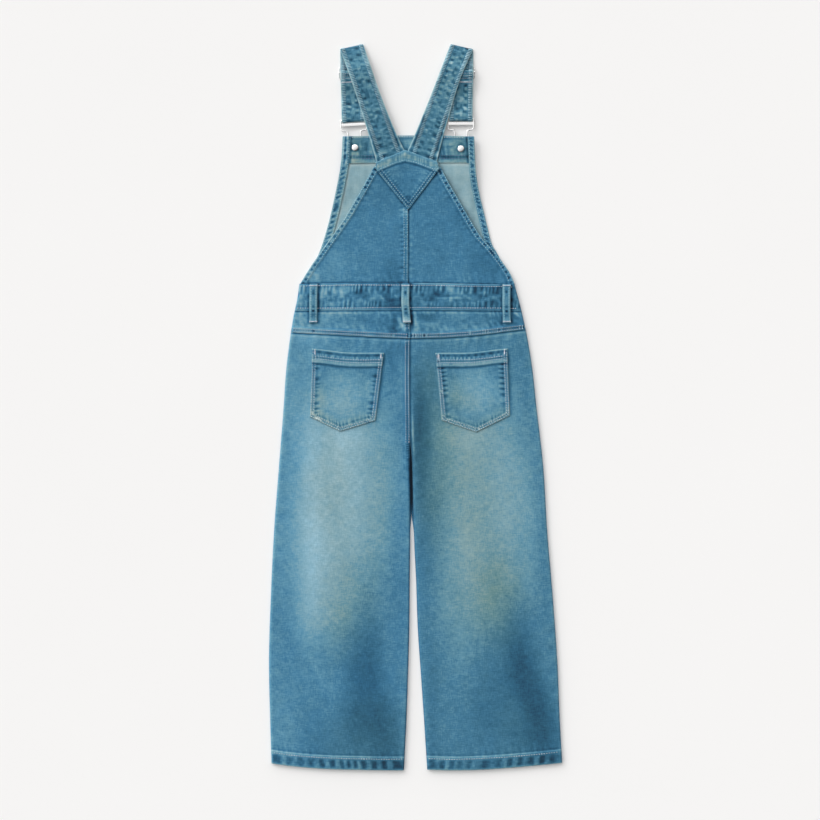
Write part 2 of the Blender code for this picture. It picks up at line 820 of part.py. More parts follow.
def back_part(strap, count):
    """Rungs from the keystone up to just short of the fold."""
    rungs = []
    for i in range(count):
        share = i / count
        ends = []
        for edge in (by_length(strap.left_edge), by_length(strap.right_edge)):
            x, y = smooth(edge, share, 1), smooth(edge, share, 2)
            on_bib = (STRAP_ON_BIB + bib_lift(x, y)) * (1 - fade(y, side(FRONT_BIB_TOP, 1)(x) + 5, 395))
            ends.append(np.array([x, y, max(eased(STRAP_BACK_HEIGHTS, share), on_bib)]))
        rungs.append(Rung(*ends))
    return rungs


def fold_part(strap, run):
    """Rungs round the fold, from the back part's height down to the front part's."""
    outward = turned_by(run.fold_direction, 90)
    level = STRAP_DOWN_HEIGHTS[0][1] + FOLD_RADIUS
    rungs = []
    for angle in np.radians(np.linspace(90, -90, 7)):
        out = outward * (FOLD_RADIUS * (math.cos(angle) - 1) - STRAP_WALL / 2)
        height = level + FOLD_RADIUS * math.sin(angle)
        rungs.append(level_rung(strap.left_edge[-1] + out, strap.right_edge[-1] + out, height))
    return rungs


def strap_rungs(which):
    """The whole strap: up the back, over, down to the buckle, round its bar and up to the slider."""
    strap, run = STRAPS[which], FrontRun(which)
    bar = run.bar_at
    rungs = back_part(strap, 18) + fold_part(strap, run)
    rungs += [run.rung(d, eased(STRAP_DOWN_HEIGHTS, d)) for d in np.linspace(5, bar, 16)[:-1]]
    rungs += run.rungs_round(bar, BUCKLE_LEVEL, BUCKLE_WIRE + GAP + STRAP_WALL / 2, -90, 90)
    rungs += [run.rung(d, eased(STRAP_UP_HEIGHTS, d)) for d in np.linspace(bar, SLIDER_AT, 16)[1:-1]]
    rungs += run.rungs_round(SLIDER_AT, SLIDER_ARCH, SLIDER_WIRE + GAP + STRAP_WALL / 2, 90, 270)
    start, end, height = STRAP_TAIL
    rungs += [run.rung(d, height) for d in np.linspace(start, end, 3)]
    return rungs


def ribbon(name, rungs, thick, finish):
    """A closed band of one thickness along its rungs."""
    middles = [(rung.left + rung.right) / 2 for rung in rungs]
    loops = []
    for i, rung in enumerate(rungs):
        ahead = middles[min(i + 1, len(rungs) - 1)] - middles[max(i - 1, 0)]
        normal = np.cross(rung.right - rung.left, ahead)
        normal *= thick / 2 / np.linalg.norm(normal)
        loops.append([rung.left + normal, rung.right + normal, rung.right - normal, rung.left - normal])
    points = [point for loop in loops for point in loop]
    faces = [(3, 2, 1, 0)]
    for i in range(len(loops) - 1):
        for k in range(4):
            a, b = 4 * i + k, 4 * i + (k + 1) % 4
            faces.append((a, b, b + 4, a + 4))
    last = 4 * (len(loops) - 1)
    faces.append((last, last + 1, last + 2, last + 3))
    return mesh_object(name, points, faces, finish)


def make_straps(denim):
    for which in STRAPS:
        ribbon(f"strap_{which}", strap_rungs(which), STRAP_WALL, denim)


# ---- metal -----------------------------------------------------------------------------------


def wire(name, points, radius, finish, closed=True):
    """Round wire along a path, as a mesh object made from a bevelled curve."""
    curve = bpy.data.curves.new(name, "CURVE")
    curve.dimensions = "3D"
    curve.bevel_depth = radius * MILLIMETRE
    curve.bevel_resolution = 1
    curve.use_fill_caps = True
    spline = curve.splines.new("POLY")
    spline.points.add(len(points) - 1)
    for knot, point in zip(spline.points, points):
        knot.co = (*[value * MILLIMETRE for value in point], 1)
    spline.use_cyclic_u = closed
    source = bpy.data.objects.new(name + "_path", curve)
    bpy.context.scene.collection.objects.link(source)
    bpy.context.view_layer.update()
    mesh = bpy.data.meshes.new_from_object(source.evaluated_get(bpy.context.evaluated_depsgraph_get()))
    bpy.data.objects.remove(source)
    mesh.name = name
    mesh.materials.clear()
    mesh.materials.append(finish)
    mesh.shade_smooth()
    made = bpy.data.objects.new(name, mesh)
    bpy.context.scene.collection.objects.link(made)
    return made


def cutter(made):
    made.hide_render = True
    made.display_type = "WIRE"
    return made


def union(target, other):
    join = target.modifiers.new("union", "BOOLEAN")
    join.operation = "UNION"
    join.object = cutter(other)


def make_buckles(metal):
    """Bent-wire buckles: a bar for the strap, a flat cross bar, shoulders and a loop for the button."""
    for which in BUTTONS:
        half = rounded(BUCKLE_HALF)
        outline = half + [(-across, along) for across, along in reversed(half[:-1])]
        points = [(*on_buckle(which, *point), BUCKLE_LEVEL) for point in outline]
        frame = wire(f"buckle_{which}", points, BUCKLE_WIRE, metal)
        half_width, half_height, half_thick = CROSS_BAR
        corners = []
        for level in (BUCKLE_LEVEL - half_thick, BUCKLE_LEVEL + half_thick):
            for i, j in ((-1, -1), (1, -1), (1, 1), (-1, 1)):
                corners.append((*on_buckle(which, i * half_width, CROSS_BAR_AT + j * half_height), level))
        sides = [(i, (i + 1) % 4, (i + 1) % 4 + 4, i + 4) for i in range(4)]
        bar = mesh_object(f"cross_bar_{which}", corners, [(3, 2, 1, 0), (4, 5, 6, 7), *sides], metal)
        union(frame, bar)


def rounded(points):
    """The same path with its corners cut."""
    cut = [points[0]]
    for a, b in zip(points, points[1:]):
        cut.append((0.75 * a[0] + 0.25 * b[0], 0.75 * a[1] + 0.25 * b[1]))
        cut.append((0.25 * a[0] + 0.75 * b[0], 0.25 * a[1] + 0.75 * b[1]))
    cut.append(points[-1])
    return cut


def slider_path():
    """The slider's outer wire in plan, as (across, along), with points on its side rails to arch by."""
    path = []
    for turn, (i, j) in enumerate(((1, 1), (-1, 1), (-1, -1), (1, -1))):
        across, along = i * (SLIDER_HALF_WIDTH - SLIDER_CORNER), j * (SLIDER_HALF_LENGTH - SLIDER_CORNER)
        for step in range(4):
            angle = math.radians(90 * turn + 30 * step)
            path.append((across + SLIDER_CORNER * math.cos(angle), along + SLIDER_CORNER * math.sin(angle)))
        if turn in (1, 3):
            for share in (0.67, 0.33, 0, -0.33, -0.67):
                path.append((i * SLIDER_HALF_WIDTH, j * share * (SLIDER_HALF_LENGTH - SLIDER_CORNER)))
    return path


def make_sliders(metal):
    """Strap adjusters: outer bars under the strap, and a raised middle bar that holds its sewn end."""
    for which in STRAPS:
        run = FrontRun(which)
        points = []
        for across, along in slider_path():
            arch = hump(along, 0, SLIDER_HALF_LENGTH - SLIDER_CORNER)
            level = SLIDER_WIRE + arch * (SLIDER_ARCH - SLIDER_WIRE)
            points.append((*run.point(SLIDER_AT - along, across), level))
        frame = wire(f"slider_{which}", points, SLIDER_WIRE, metal)
        ends = [(*run.point(SLIDER_AT, i * SLIDER_HALF_WIDTH), SLIDER_ARCH) for i in (-1, 1)]
        union(frame, wire(f"slider_bar_{which}", ends, SLIDER_WIRE * 0.93, metal, closed=False))


def turned(name, profile, x, y, finish, segments=16):
    """A round piece from a half profile of (radius, height), bottom to top, both ends on the axis."""
    points = [(x, y, profile[0][1])]
    for radius, height in profile[1:-1]:
        for i in range(segments):
            angle = 2 * math.pi * i / segments
            points.append((x + radius * math.cos(angle), y + radius * math.sin(angle), height))
    points.append((x, y, profile[-1][1]))
    rings = len(profile) - 2
    top = len(points) - 1
    faces = []
    for i in range(segments):
        j = (i + 1) % segments
        faces.append((0, 1 + j, 1 + i))
        for ring in range(rings - 1):
            low, high = 1 + ring * segments, 1 + (ring + 1) * segments
            faces.append((low + i, low + j, high + j, high + i))
        last = 1 + (rings - 1) * segments
        faces.append((last + i, last + j, top))
    return mesh_object(name, points, faces, finish)


def make_buttons(metal):
    """Bib buttons under the cloth, with the neck in the buckle's loop, and their caps on the inner side."""
    neck, head = BUTTON_NECK_RADIUS, BUTTON_HEAD_RADIUS
    for which, (x, y) in BUTTONS.items():
        cloth = bib_lift(x, y)
        profile = [
            (0, 0), (head - 1.2, 0), (head, 0.8), (head, BUTTON_HEAD - 0.5), (head - 0.6, BUTTON_HEAD),
            (neck, BUTTON_HEAD), (neck, cloth - GAP), (0, cloth - GAP),
        ]
        turned(f"button_{which}", profile, x, y, metal)
        rest = cloth + 2 * WALL + GAP + GAP
        cap = [(0, rest), (CAP_RADIUS, rest), (CAP_RADIUS, rest + 0.5)]
        for share in (0.85, 0.6, 0.3):
            cap.append((CAP_RADIUS * share, rest + 0.5 + (CAP_HEIGHT - 0.5) * math.sqrt(1 - share**2)))
        cap.append((0, rest + CAP_HEIGHT))
        turned(f"button_back_{which}", cap, x, y, metal)


def main():
    for existing in list(bpy.data.objects):
        bpy.data.objects.remove(existing)
    denim = material("denim", (0.075, 0.205, 0.330), 0.85)
    wrong_side = material("denim_wrong_side", (0.26, 0.41, 0.46), 0.9)
    metal = material("metal", (0.78, 0.79, 0.80), 0.3, metallic=1.0)
    make_legs(denim)
    make_yoke(denim)
    make_waistbands(denim)
    make_pockets(denim)
    make_belt_loops(denim)
    make_front_bib(denim, wrong_side)
    make_back_bib(denim)
    make_keystone(denim)
    make_straps(denim)
    make_sliders(metal)
    make_buckles(metal)
    make_buttons(metal)


main()
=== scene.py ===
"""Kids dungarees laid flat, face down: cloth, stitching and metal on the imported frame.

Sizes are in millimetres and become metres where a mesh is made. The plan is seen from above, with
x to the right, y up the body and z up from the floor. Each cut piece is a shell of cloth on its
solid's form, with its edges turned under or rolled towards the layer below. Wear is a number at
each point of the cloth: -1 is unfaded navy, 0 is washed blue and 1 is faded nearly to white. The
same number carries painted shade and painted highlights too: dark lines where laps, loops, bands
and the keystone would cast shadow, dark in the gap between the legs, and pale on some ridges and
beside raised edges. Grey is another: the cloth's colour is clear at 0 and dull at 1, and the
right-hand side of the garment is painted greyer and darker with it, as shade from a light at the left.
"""

import math
from collections import namedtuple
from functools import partial

import bpy
import numpy as np
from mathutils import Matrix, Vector


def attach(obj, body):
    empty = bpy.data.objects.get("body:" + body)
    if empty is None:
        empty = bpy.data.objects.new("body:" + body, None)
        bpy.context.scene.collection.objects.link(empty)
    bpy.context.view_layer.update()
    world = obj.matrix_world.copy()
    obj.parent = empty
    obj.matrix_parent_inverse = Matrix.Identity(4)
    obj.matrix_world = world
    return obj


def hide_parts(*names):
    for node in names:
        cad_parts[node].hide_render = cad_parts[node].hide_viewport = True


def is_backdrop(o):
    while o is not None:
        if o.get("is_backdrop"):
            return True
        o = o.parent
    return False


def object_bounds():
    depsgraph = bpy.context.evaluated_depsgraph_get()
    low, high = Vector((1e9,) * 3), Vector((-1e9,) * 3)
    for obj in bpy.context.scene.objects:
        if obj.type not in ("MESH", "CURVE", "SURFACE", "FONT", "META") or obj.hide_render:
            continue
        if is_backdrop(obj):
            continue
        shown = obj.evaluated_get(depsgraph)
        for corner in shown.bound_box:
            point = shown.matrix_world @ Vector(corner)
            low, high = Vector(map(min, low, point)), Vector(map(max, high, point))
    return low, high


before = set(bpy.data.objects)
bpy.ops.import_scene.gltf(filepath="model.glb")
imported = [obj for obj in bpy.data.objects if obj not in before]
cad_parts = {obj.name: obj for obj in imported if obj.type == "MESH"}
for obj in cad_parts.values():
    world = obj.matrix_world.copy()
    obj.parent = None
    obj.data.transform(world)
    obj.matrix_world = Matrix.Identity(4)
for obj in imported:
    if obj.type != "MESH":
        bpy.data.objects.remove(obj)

MILLIMETRE = 0.001
CAD_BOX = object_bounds()

# Cloth
WALL = 1.2
STRAP_WALL = 1.6
LOOP_WALL = 1.8
GAP = 0.3

# Heights above the floor
TROUSER_TOP = 5.0
YOKE_TOP = 5.3
WAISTBAND_TOP = 5.9
SEAM_LEVEL = 2.5
FRONT_LEG_LEVEL = 0.05
FRONT_WAIST_LEVEL = 0.03
FRONT_BIB_LEAST = 0.02
BACK_BIB_UNDERSIDE = 3.1
ROLL = 3.0
TUCK = 3.0  # how far a piece runs on under the one that laps over it
TUCK_DROP = 0.8

# Seams and hems
HEM_DEPTH = 17.5
LAP = 5.6
LAP_RISE = 0.7
EDGE_BAND = 8.0
EDGE_RISE = 0.8
BAND_WIDTHS = {"left": 11.5, "right": 9.5}  # of the front bib's turned bands
POCKET_HEM = 19.0
STEP = 1.2

# Side edges, from the hem up: y, left x, right x
TROUSER_SIDES = (
    (-510, -202.0, 205.8), (-444, -204.0, 202.0), (-355, -205.8, 198.2), (-265, -203.2, 191.8),
    (-175, -198.8, 184.2), (-85, -192.0, 178.6), (4, -185.0, 168.6), (49, -182.0, 163.8),
    (94, -176.6, 156.8), (127, -171.4, 149.8), (150, -166.4, 144.2), (174, -163.0, 137.6),
)
BACK_BIB_SIDES = (
    (172, -162.2, 138.4), (188, -152.8, 131.4), (217, -133.4, 110.2), (238, -118.2, 91.6),
    (265, -99.6, 74.6), (288, -85.8, 61.4), (311, -72.6, 47.8), (334, -59.6, 35.2), (356, -46.0, 23.0),
)
FRONT_BIB_SIDES = (
    (172, -160.4, 136.0), (185, -152.6, 130.6), (200, -142.8, 122.2), (217, -135.2, 113.0),
    (228, -131.2, 106.6), (251, -124.2, 100.6), (273, -118.6, 95.4), (295, -113.6, 90.0),
    (321, -108.2, 85.2), (346, -104.4, 83.2), (381, -102.4, 81.6),
)
# Inner edges of the back legs, from the hem up: y, right edge of the left leg, left edge of the right
BACK_INSEAMS = (
    (-510, -16.8, 16.0), (-444, -13.4, 11.8), (-377, -11.0, 7.2), (-309, -9.2, 2.6), (-242, -8.6, 0.3),
    (-197, -8.0, -2.0), (-148, -7.9, -3.6), (-90, -8.0, -5.0), (-50, -8.4, -7.2), (-18, -8.55, -8.25),
    (38, -9.15, -8.85), (98, -8.85, -8.55),
)
FORK = (-178.0, -148.0)  # from where the front legs are wholly apart to where they are one
BACK_FORK = (-72.0, -22.0)  # from where the back legs' inner edges are wholly rolled to where they lie flat
FRONT_SEAM_X = -6.0
CENTRE_SEAM_X = -10.8  # of the bib
YOKE_SEAM_X = -8.7

# Edges across the body: x, y
HEM_LEFT = ((-204, -499.0), (-175, -503.0), (-129, -506.8), (-60, -508.6), (-14, -508.9))
HEM_RIGHT = ((14, -507.8), (50, -508.9), (95, -507.8), (150, -503.8), (207, -498.2))
YOKE_SEAM = ((-176, 104.2), (-95, 100.0), (-8, 96.2), (70, 99.0), (156, 109.0))
WAIST_LOW = ((-170, 134.4), (-8, 135.4), (147, 134.2))
WAIST_HIGH = ((-164, 172.4), (-90, 173.8), (0, 173.6), (139, 171.2))
FRONT_BIB_TOP = ((-102, 378.6), (-10, 380.4), (82, 378.4))
FACING_LOW = ((-102, 340.4), (-10, 341.6), (82, 341.0))
BACK_BIB_TOP = ((-57, 335.6), (-15.0, 351.0), (32, 336.0))

Pocket = namedtuple("Pocket", "top_left top_right low_left point low_right")
POCKETS = {
    "left": Pocket((-145.2, 81.6), (-44.8, 75.6), (-148.0, -14.2), (-106.0, -34.4), (-56.6, -19.2)),
    "right": Pocket((27.4, 75.4), (128.0, 81.8), (36.2, -18.8), (84.6, -35.4), (131.6, -12.0)),
}
POCKET_TOP_DIP = 2.4
POCKET_SLOPE = 0.91  # distance square to a slanted bottom edge, for each unit straight up

# Belt loops: x of the middle at the top, half way down and at the bottom
LOOP_WIDTH = 11.2
LOOP_HIGH = 172.0
LOOP_LOW = 117.4
LOOPS = {"left": (-143.0, -143.4, -143.6), "centre": (-14.4, -14.7, -12.4), "right": (127.0, 126.6, 127.4)}

KEYSTONE_APEX = (-15.0, 359.6)
KEYSTONE_POINT = (-10.4, 276.4)
KEYSTONE_LEFT = ((-57.2, 333.8), (-55.0, 342.2))
KEYSTONE_RIGHT = ((33.0, 333.4), (29.6, 342.8))
KEYSTONE_SLOPE = 0.6

BUTTONS = {"left": (-85.0, 362.7), "right": (63.0, 361.1)}
BUTTON_HEAD_RADIUS = 8.5
BUTTON_HEAD = 2.3
BUTTON_NECK_RADIUS = 2.4
CAP_RADIUS = 4.6
CAP_RIM = 0.5
CAP_HEIGHT = 1.5
CORNER_LIFT = 5.5
MIDDLE_LIFT = 1.9
RAMP = (262.0, 350.0)

# Straps: both edges of the back part, from the keystone up to the fold
Strap = namedtuple("Strap", "left_edge right_edge")
STRAPS = {
    "left": Strap(
        ((-54.6, 341.0), (-67.8, 386.5), (-85.5, 442.3), (-106.4, 501.6)),
        ((-14.4, 355.6), (-29.0, 386.5), (-50.0, 439.0), (-73.8, 508.6)),
    ),
    "right": Strap(
        ((-12.6, 355.8), (-3.3, 376.8), (14.0, 418.5), (33.6, 468.5), (48.6, 508.6)),
        ((29.3, 341.0), (33.4, 359.0), (44.7, 400.5), (61.6, 456.3), (80.4, 501.4)),
    ),
}
FOLD_RADIUS = 1.15
STRAP_HALF = 16.5
# Least height of the back part of a strap: share of the way up from the keystone, z
STRAP_BACK_HEIGHTS = (
    (0.00, 5.0), (0.17, 7.0), (0.28, 8.1), (0.38, 8.1), (0.50, 7.6), (0.64, 8.5), (0.72, 9.9),
    (0.79, 9.9), (0.90, 5.6), (1.00, 3.1),
)
# Down the front, by distance from the fold: to the buckle's bar, then back up to the slider
STRAP_DOWN_HEIGHTS = ((2, 0.8), (14, 0.8), (27, 2.5), (46, 2.5), (62, 0.8), (88, 0.8), (100, 1.7))
STRAP_UP_HEIGHTS = ((100, 6.1), (80, 3.6), (68, 3.6), (52, 6.3), (46, 6.6), (38, 8.0))
STRAP_TAIL = (38, 50, 4.4)  # the stitched end under it: from, to, height
STRAP_ON_BIB = 3.9

SLIDER_AT = 36.4
SLIDER_HALF_WIDTH = 18.2
SLIDER_HALF_LENGTH = 8.0
SLIDER_CORNER = 2.0
SLIDER_WIRE = 0.7
SLIDER_BAR_WIRE = 0.651
SLIDER_ARCH = 6.2

BUCKLE_WIRE = 1.1
BUCKLE_LEVEL = 3.9
BUCKLE_TILT = {"left": 3.5, "right": 0.0}
NECK_IN_SLOT = {"left": 2.6, "right": -0.2}
BUCKLE_BAR_AT = 42.0
CROSS_BAR_AT = 35.2
CROSS_BAR = (17.9, 2.4, 0.8)  # half width, half height and half thickness
# Half of the buckle's wire, from its bar to its slot's round end: across, along
BUCKLE_HALF = (
    (17.9, 42.0), (17.9, 30.0), (17.2, 27.6), (14.6, 27.0), (10.6, 26.8), (9.0, 25.0), (8.8, 20.0),
    (8.9, 13.0), (8.0, 9.6), (5.6, 6.8), (4.2, 4.4), (4.0, 0.0), (2.8, -2.8), (0.0, -4.0),
)

# Rows of stitches: distance in from the edge, or down from the top. A run is from and to, along it.
HEM_STITCH = 15.8
HEM_RUNS = {"left": (-200, -15), "right": (17, 202)}
CENTRE_STITCHES = (1.4, 5.4)
CENTRE_RUN = (-50, 96)
YOKE_STITCHES = (1.8, 5.8)
YOKE_RUNS = {"left": (-172, YOKE_SEAM_X - 1), "right": (YOKE_SEAM_X + 3, 153)}
YOKE_CENTRE_RUN = (108, 134)
WAIST_STITCH_TOP = 3.2
WAIST_TOP_RUN = (-162, 140)
WAIST_STITCH_LOW = 3.8
WAIST_LOW_RUN = (-167, 145)
POCKET_STITCHES = (1.5, 4.7)
POCKET_HEM_STITCHES = (10.0, 13.6)
LOOP_STITCH = 3.4  # from the loop's middle
BIB_STITCHES = (1.6, 7.0)
BIB_RUN = (176, 334)
BIB_CENTRE_STITCHES = (1.4, 5.6)
BIB_CENTRE_RUN = (176, 282)
KEYSTONE_STITCHES = (1.8, 5.2)
KEYSTONE_HEM = 13.6
KEYSTONE_HEM_STITCH = 1.6  # up from the hem's lower edge
KEYSTONE_HEM_RUNS = ((-50, KEYSTONE_APEX[0]), (KEYSTONE_APEX[0], 29))
BAND_STITCH = 1.9
BAND_RUN = (176, 378)
FACING_TOP_STITCH = 2.2
FACING_TOP_RUN = (-90, 70)
FACING_STITCHES = (6.6, 10.6)
FACING_RUN = (-91, 72)
STITCH_PITCH = 3.5
STITCH_LENGTH = 1.8
THREAD_RADIUS = 0.54
BOLD_THREAD = 0.68

# Picture
FRAME_WIDTH = 1148.0
FRAME_MIDDLE = (-8.2, -4.2)
LENS = 85.0
SENSOR = 36.0


# ---- curves, waves and noise -----------------------------------------------------------------


def in_table(rows, at, column=1):
    """A table's knots and one column of its values, and the row before each place."""
    table = np.array(sorted(rows), float)
    last = len(table) - 2
    return table[:, 0], table[:, column], np.clip(np.searchsorted(table[:, 0], at, "right") - 1, 0, last)


def smooth(rows, at, column=1):
    """One column of a table at places between its rows, on a smooth curve through them."""
    knots, values, i = in_table(rows, at, column)
    rise = np.r_[values[1:], values[-1]] - np.r_[values[0], values[:-1]]
    slope = rise / (np.r_[knots[1:], knots[-1]] - np.r_[knots[0], knots[:-1]])
    run = knots[i + 1] - knots[i]
    t = (np.clip(at, knots[0], knots[-1]) - knots[i]) / run
    from_start = values[i] * (1 + 2 * t) + slope[i] * run * t
    from_end = values[i + 1] * (3 - 2 * t) + slope[i + 1] * run * (t - 1)
    return from_start * (1 - t) ** 2 + from_end * t**2


def eased(rows, at):
    """The same, but level at every row, so that it never passes a row's own value."""
    knots, values, i = in_table(rows, at)
    return values[i] + (values[i + 1] - values[i]) * fade(at, knots[i], knots[i + 1])


def straight(points, at):
    points = sorted(points)
    return np.interp(at, [p[0] for p in points], [p[1] for p in points])


def fade(value, start, end):
    """0 before start and 1 after end, with a smooth turn between."""
    t = np.clip((value - start) / (end - start), 0, 1)
    return t * t * (3 - 2 * t)


def hump(value, middle, reach):
    return 1 - fade(np.abs(value - middle), 0, reach)


def line(value, middle, width):
    """A soft line: 1 at the middle, and mostly within its width on both sides."""
    return np.exp(-(((value - middle) / width) ** 2))


def near_edge(distance, width):
    return 1 - fade(distance, width, width + STEP)


def noise(seed, u, v=0.0):
    """Smooth noise from -1 to 1, with features about one unit long."""
    size = 128
    table = np.random.default_rng(seed).uniform(-1, 1, (size, size))
    u, v = np.broadcast_arrays(u, v)
    i, j = np.floor(u).astype(int), np.floor(v).astype(int)
    s, t = fade(u - i, 0, 1), fade(v - j, 0, 1)
    low, high = (
        table[i % size, k % size] * (1 - s) + table[(i + 1) % size, k % size] * s for k in (j, j + 1)
    )
    return low * (1 - t) + high * t


def uneven(along, pitch, seed):
    """A wave along a seam, about -1 to 1, with uneven spacing and depth."""
    drift = noise(seed, along / (2.5 * pitch))
    depth = 0.7 + 0.6 * noise(seed + 1, along / (1.5 * pitch))
    return np.sin(2 * math.pi * (along / pitch + 0.8 * drift)) * depth


def puckers(along, off, pitch, seed, reach, slant=0.0):
    """What a line of stitches draws up beside it: ridges that run off the line and die out."""
    beside = fade(off, -1.5, 1.0) * (1 - fade(off, 0.3 * reach, reach))
    return uneven(along + slant * off, pitch, seed) * beside


class Look:
    """What the cloth does at its points, added up: fading with painted shade and highlights, greyness with
    painted shade, and lift in millimetres.
    """

    def __init__(self, seed, x, y):
        self.x, self.y = x, y
        self.wear_and_shade = 0.08 * noise(seed + 8, x / 7, y / 5) + 0.06 * noise(seed + 9, x / 34, y / 48)
        self.grey_and_shade = 0.10 * noise(seed + 10, x / 12, y / 16)
        self.lift = 0.12 * noise(seed + 7, x / 17, y / 23)

    def add(self, amount, wear_and_shade=0.0, grey_and_shade=0.0, lift=0.0):
        self.wear_and_shade = self.wear_and_shade + wear_and_shade * amount
        self.grey_and_shade = self.grey_and_shade + grey_and_shade * amount
        self.lift = self.lift + lift * amount

    def lines(self, off, *rows, where=1.0):
        """Soft lines along an edge: how far off, width and the change of fading, which on some lines is
        painted shade and on others a painted highlight, then greyness and lift if they change.
        """
        for middle, width, *amounts in rows:
            self.add(line(off, middle, width) * where, *amounts)

    def seam(self, off, along, stitches, seed, where=1.0, dots=0.9):
        """Two rows of stitches beside an edge: its pale rim, and the dotted groove between them."""
        first, second = stitches
        groove = line(off, (first + second) / 2, (second - first) / 2.4) * where
        self.add(groove, wear_and_shade=-0.55, lift=-0.1)
        self.add(groove * uneven(along, STITCH_PITCH, seed), wear_and_shade=dots)
        self.lines(off, (0.2, 1.1, 0.5, 0.2), (first, 0.8, -0.35), (second, 0.8, -0.35), where=where)
        self.lines(off, (second + 1.0, 0.9, 0.22), (second + 2.8, 1.1, -0.32), where=where)

    def patches(self, rows, kind="wear_and_shade"):
        """Soft patches of fading or greyness, some of them painted shade: x, y, half width, half length and
        amount, then lean if it has any.
        """
        for x, y, half_width, half_length, amount, *lean in rows:
            turn = math.radians(sum(lean))
            across = (self.x - x) * math.cos(turn) + (self.y - y) * math.sin(turn)
            along = (self.y - y) * math.cos(turn) - (self.x - x) * math.sin(turn)
            far = (across / half_width) ** 2 + (along / half_length) ** 2
            self.add(np.exp(-(far**1.5)), **{kind: amount})

    def values(self, base):
        return base + self.lift, self.wear_and_shade, self.grey_and_shade


# ---- materials -------------------------------------------------------------------------------


def screen(red, green, blue):
    """A colour as it looks on a screen, 0 to 255, in a shader's linear values."""
    return (*[((v / 255 + 0.055) / 1.055) ** 2.4 for v in (red, green, blue)], 1)


class Nodes:
    """Short calls for the nodes of a new material or world."""

    def __init__(self, owner, shader="Principled BSDF", space="Object"):
        owner.use_nodes = True
        self.owner = owner
        self.tree = owner.node_tree
        self.shader = self.tree.nodes[shader]
        self.place = self.new("TexCoord").outputs[space]

    def feed(self, node, feeds):
        """Numbers, colours or other nodes' outputs, into a node's inputs."""
        for socket, value in dict(feeds).items():
            if isinstance(value, bpy.types.NodeSocket):
                self.tree.links.new(value, node.inputs[socket])
            else:
                node.inputs[socket].default_value = value

    def new(self, kind, feeds=(), **settings):
        made = self.tree.nodes.new("ShaderNode" + kind)
        for key, value in settings.items():
            setattr(made, key, value)
        self.feed(made, feeds)
        return made

    def attribute(self, name):
        return self.new("Attribute", attribute_name=name).outputs["Fac"]

    def mix(self, blend, factor, first, second):
        """Two colours mixed. The factor isn't clamped, so that grey can go past its ends."""
        feeds = {0: factor, 6: first, 7: second}  # its inputs for colours
        made = self.new("Mix", data_type="RGBA", blend_type=blend, clamp_factor=False)
        self.feed(made, feeds)
        return made.outputs[2]

    def noise(self, scale, detail, stretch=(1, 1, 1)):
        place = self.new("Mapping", {"Vector": self.place, "Scale": stretch}).outputs["Vector"]
        return self.new("TexNoise", {"Vector": place, "Scale": scale, "Detail": detail}).outputs["Fac"]

    def bands(self, scale):
        feeds = {"Vector": self.place, "Scale": scale, "Distortion": 1.2, "Detail": 1.0}
        return self.new("TexWave", feeds, wave_type="BANDS", bands_direction="DIAGONAL").outputs["Fac"]

    def math(self, operation, *values):
        return self.new("Math", enumerate(values), operation=operation).outputs["Value"]

    def ramp(self, factor, rows):
        made = self.new("ValToRGB", {"Fac": factor})
        elements = made.color_ramp.elements
        while len(elements) < len(rows):
            elements.new(0.5)
        for element, (position, colour) in zip(elements, rows):
            element.position = position
            element.color = colour
        return made.outputs["Color"]

    def shade(self, colour, roughness, **others):
        feeds = {name.replace("_", " "): value for name, value in others.items()}
        self.feed(self.shader, {"Base Color": colour, "Roughness": roughness, **feeds})

    def bump(self, height, strength, distance):
        feeds = {"Height": height, "Strength": strength, "Distance": distance * MILLIMETRE}
        self.feed(self.shader, {"Normal": self.new("Bump", feeds).outputs["Normal"]})


def new_material(name):
    return Nodes(bpy.data.materials.new(name))


TWILL_SCALE = 480.0  # diagonal ribs about 0.9 mm apart
LEAST_WEAR_AND_SHADE, MOST_WEAR_AND_SHADE = -1.8, 1.8
# Tones from unfaded navy to faded; the near-black end serves painted shade, such as the gap between the legs,
# and the deepest grooves.
DENIM_TONES = (
    (-1.8, screen(8, 28, 46)),
    (-1.0, screen(26, 71, 100)),
    (-0.5, screen(43, 98, 130)),
    (0.0, screen(65, 122, 155)),
    (0.4, screen(95, 148, 173)),
    (0.8, screen(126, 166, 181)),
    (1.8, screen(178, 210, 222)),
)
WRONG_SIDE_TONES = ((-1.8, screen(52, 82, 98)), (0.0, screen(141, 174, 184)), (1.8, screen(200, 218, 218)))
# What the cloth's colour is multiplied by where it is clear blue, and where it is greyed
CLEAR_TINT = (0.93, 1.01, 1.05, 1)
GREY_TINT = (1.07, 0.96, 0.86, 1)
EVEN_GREY = 0.3


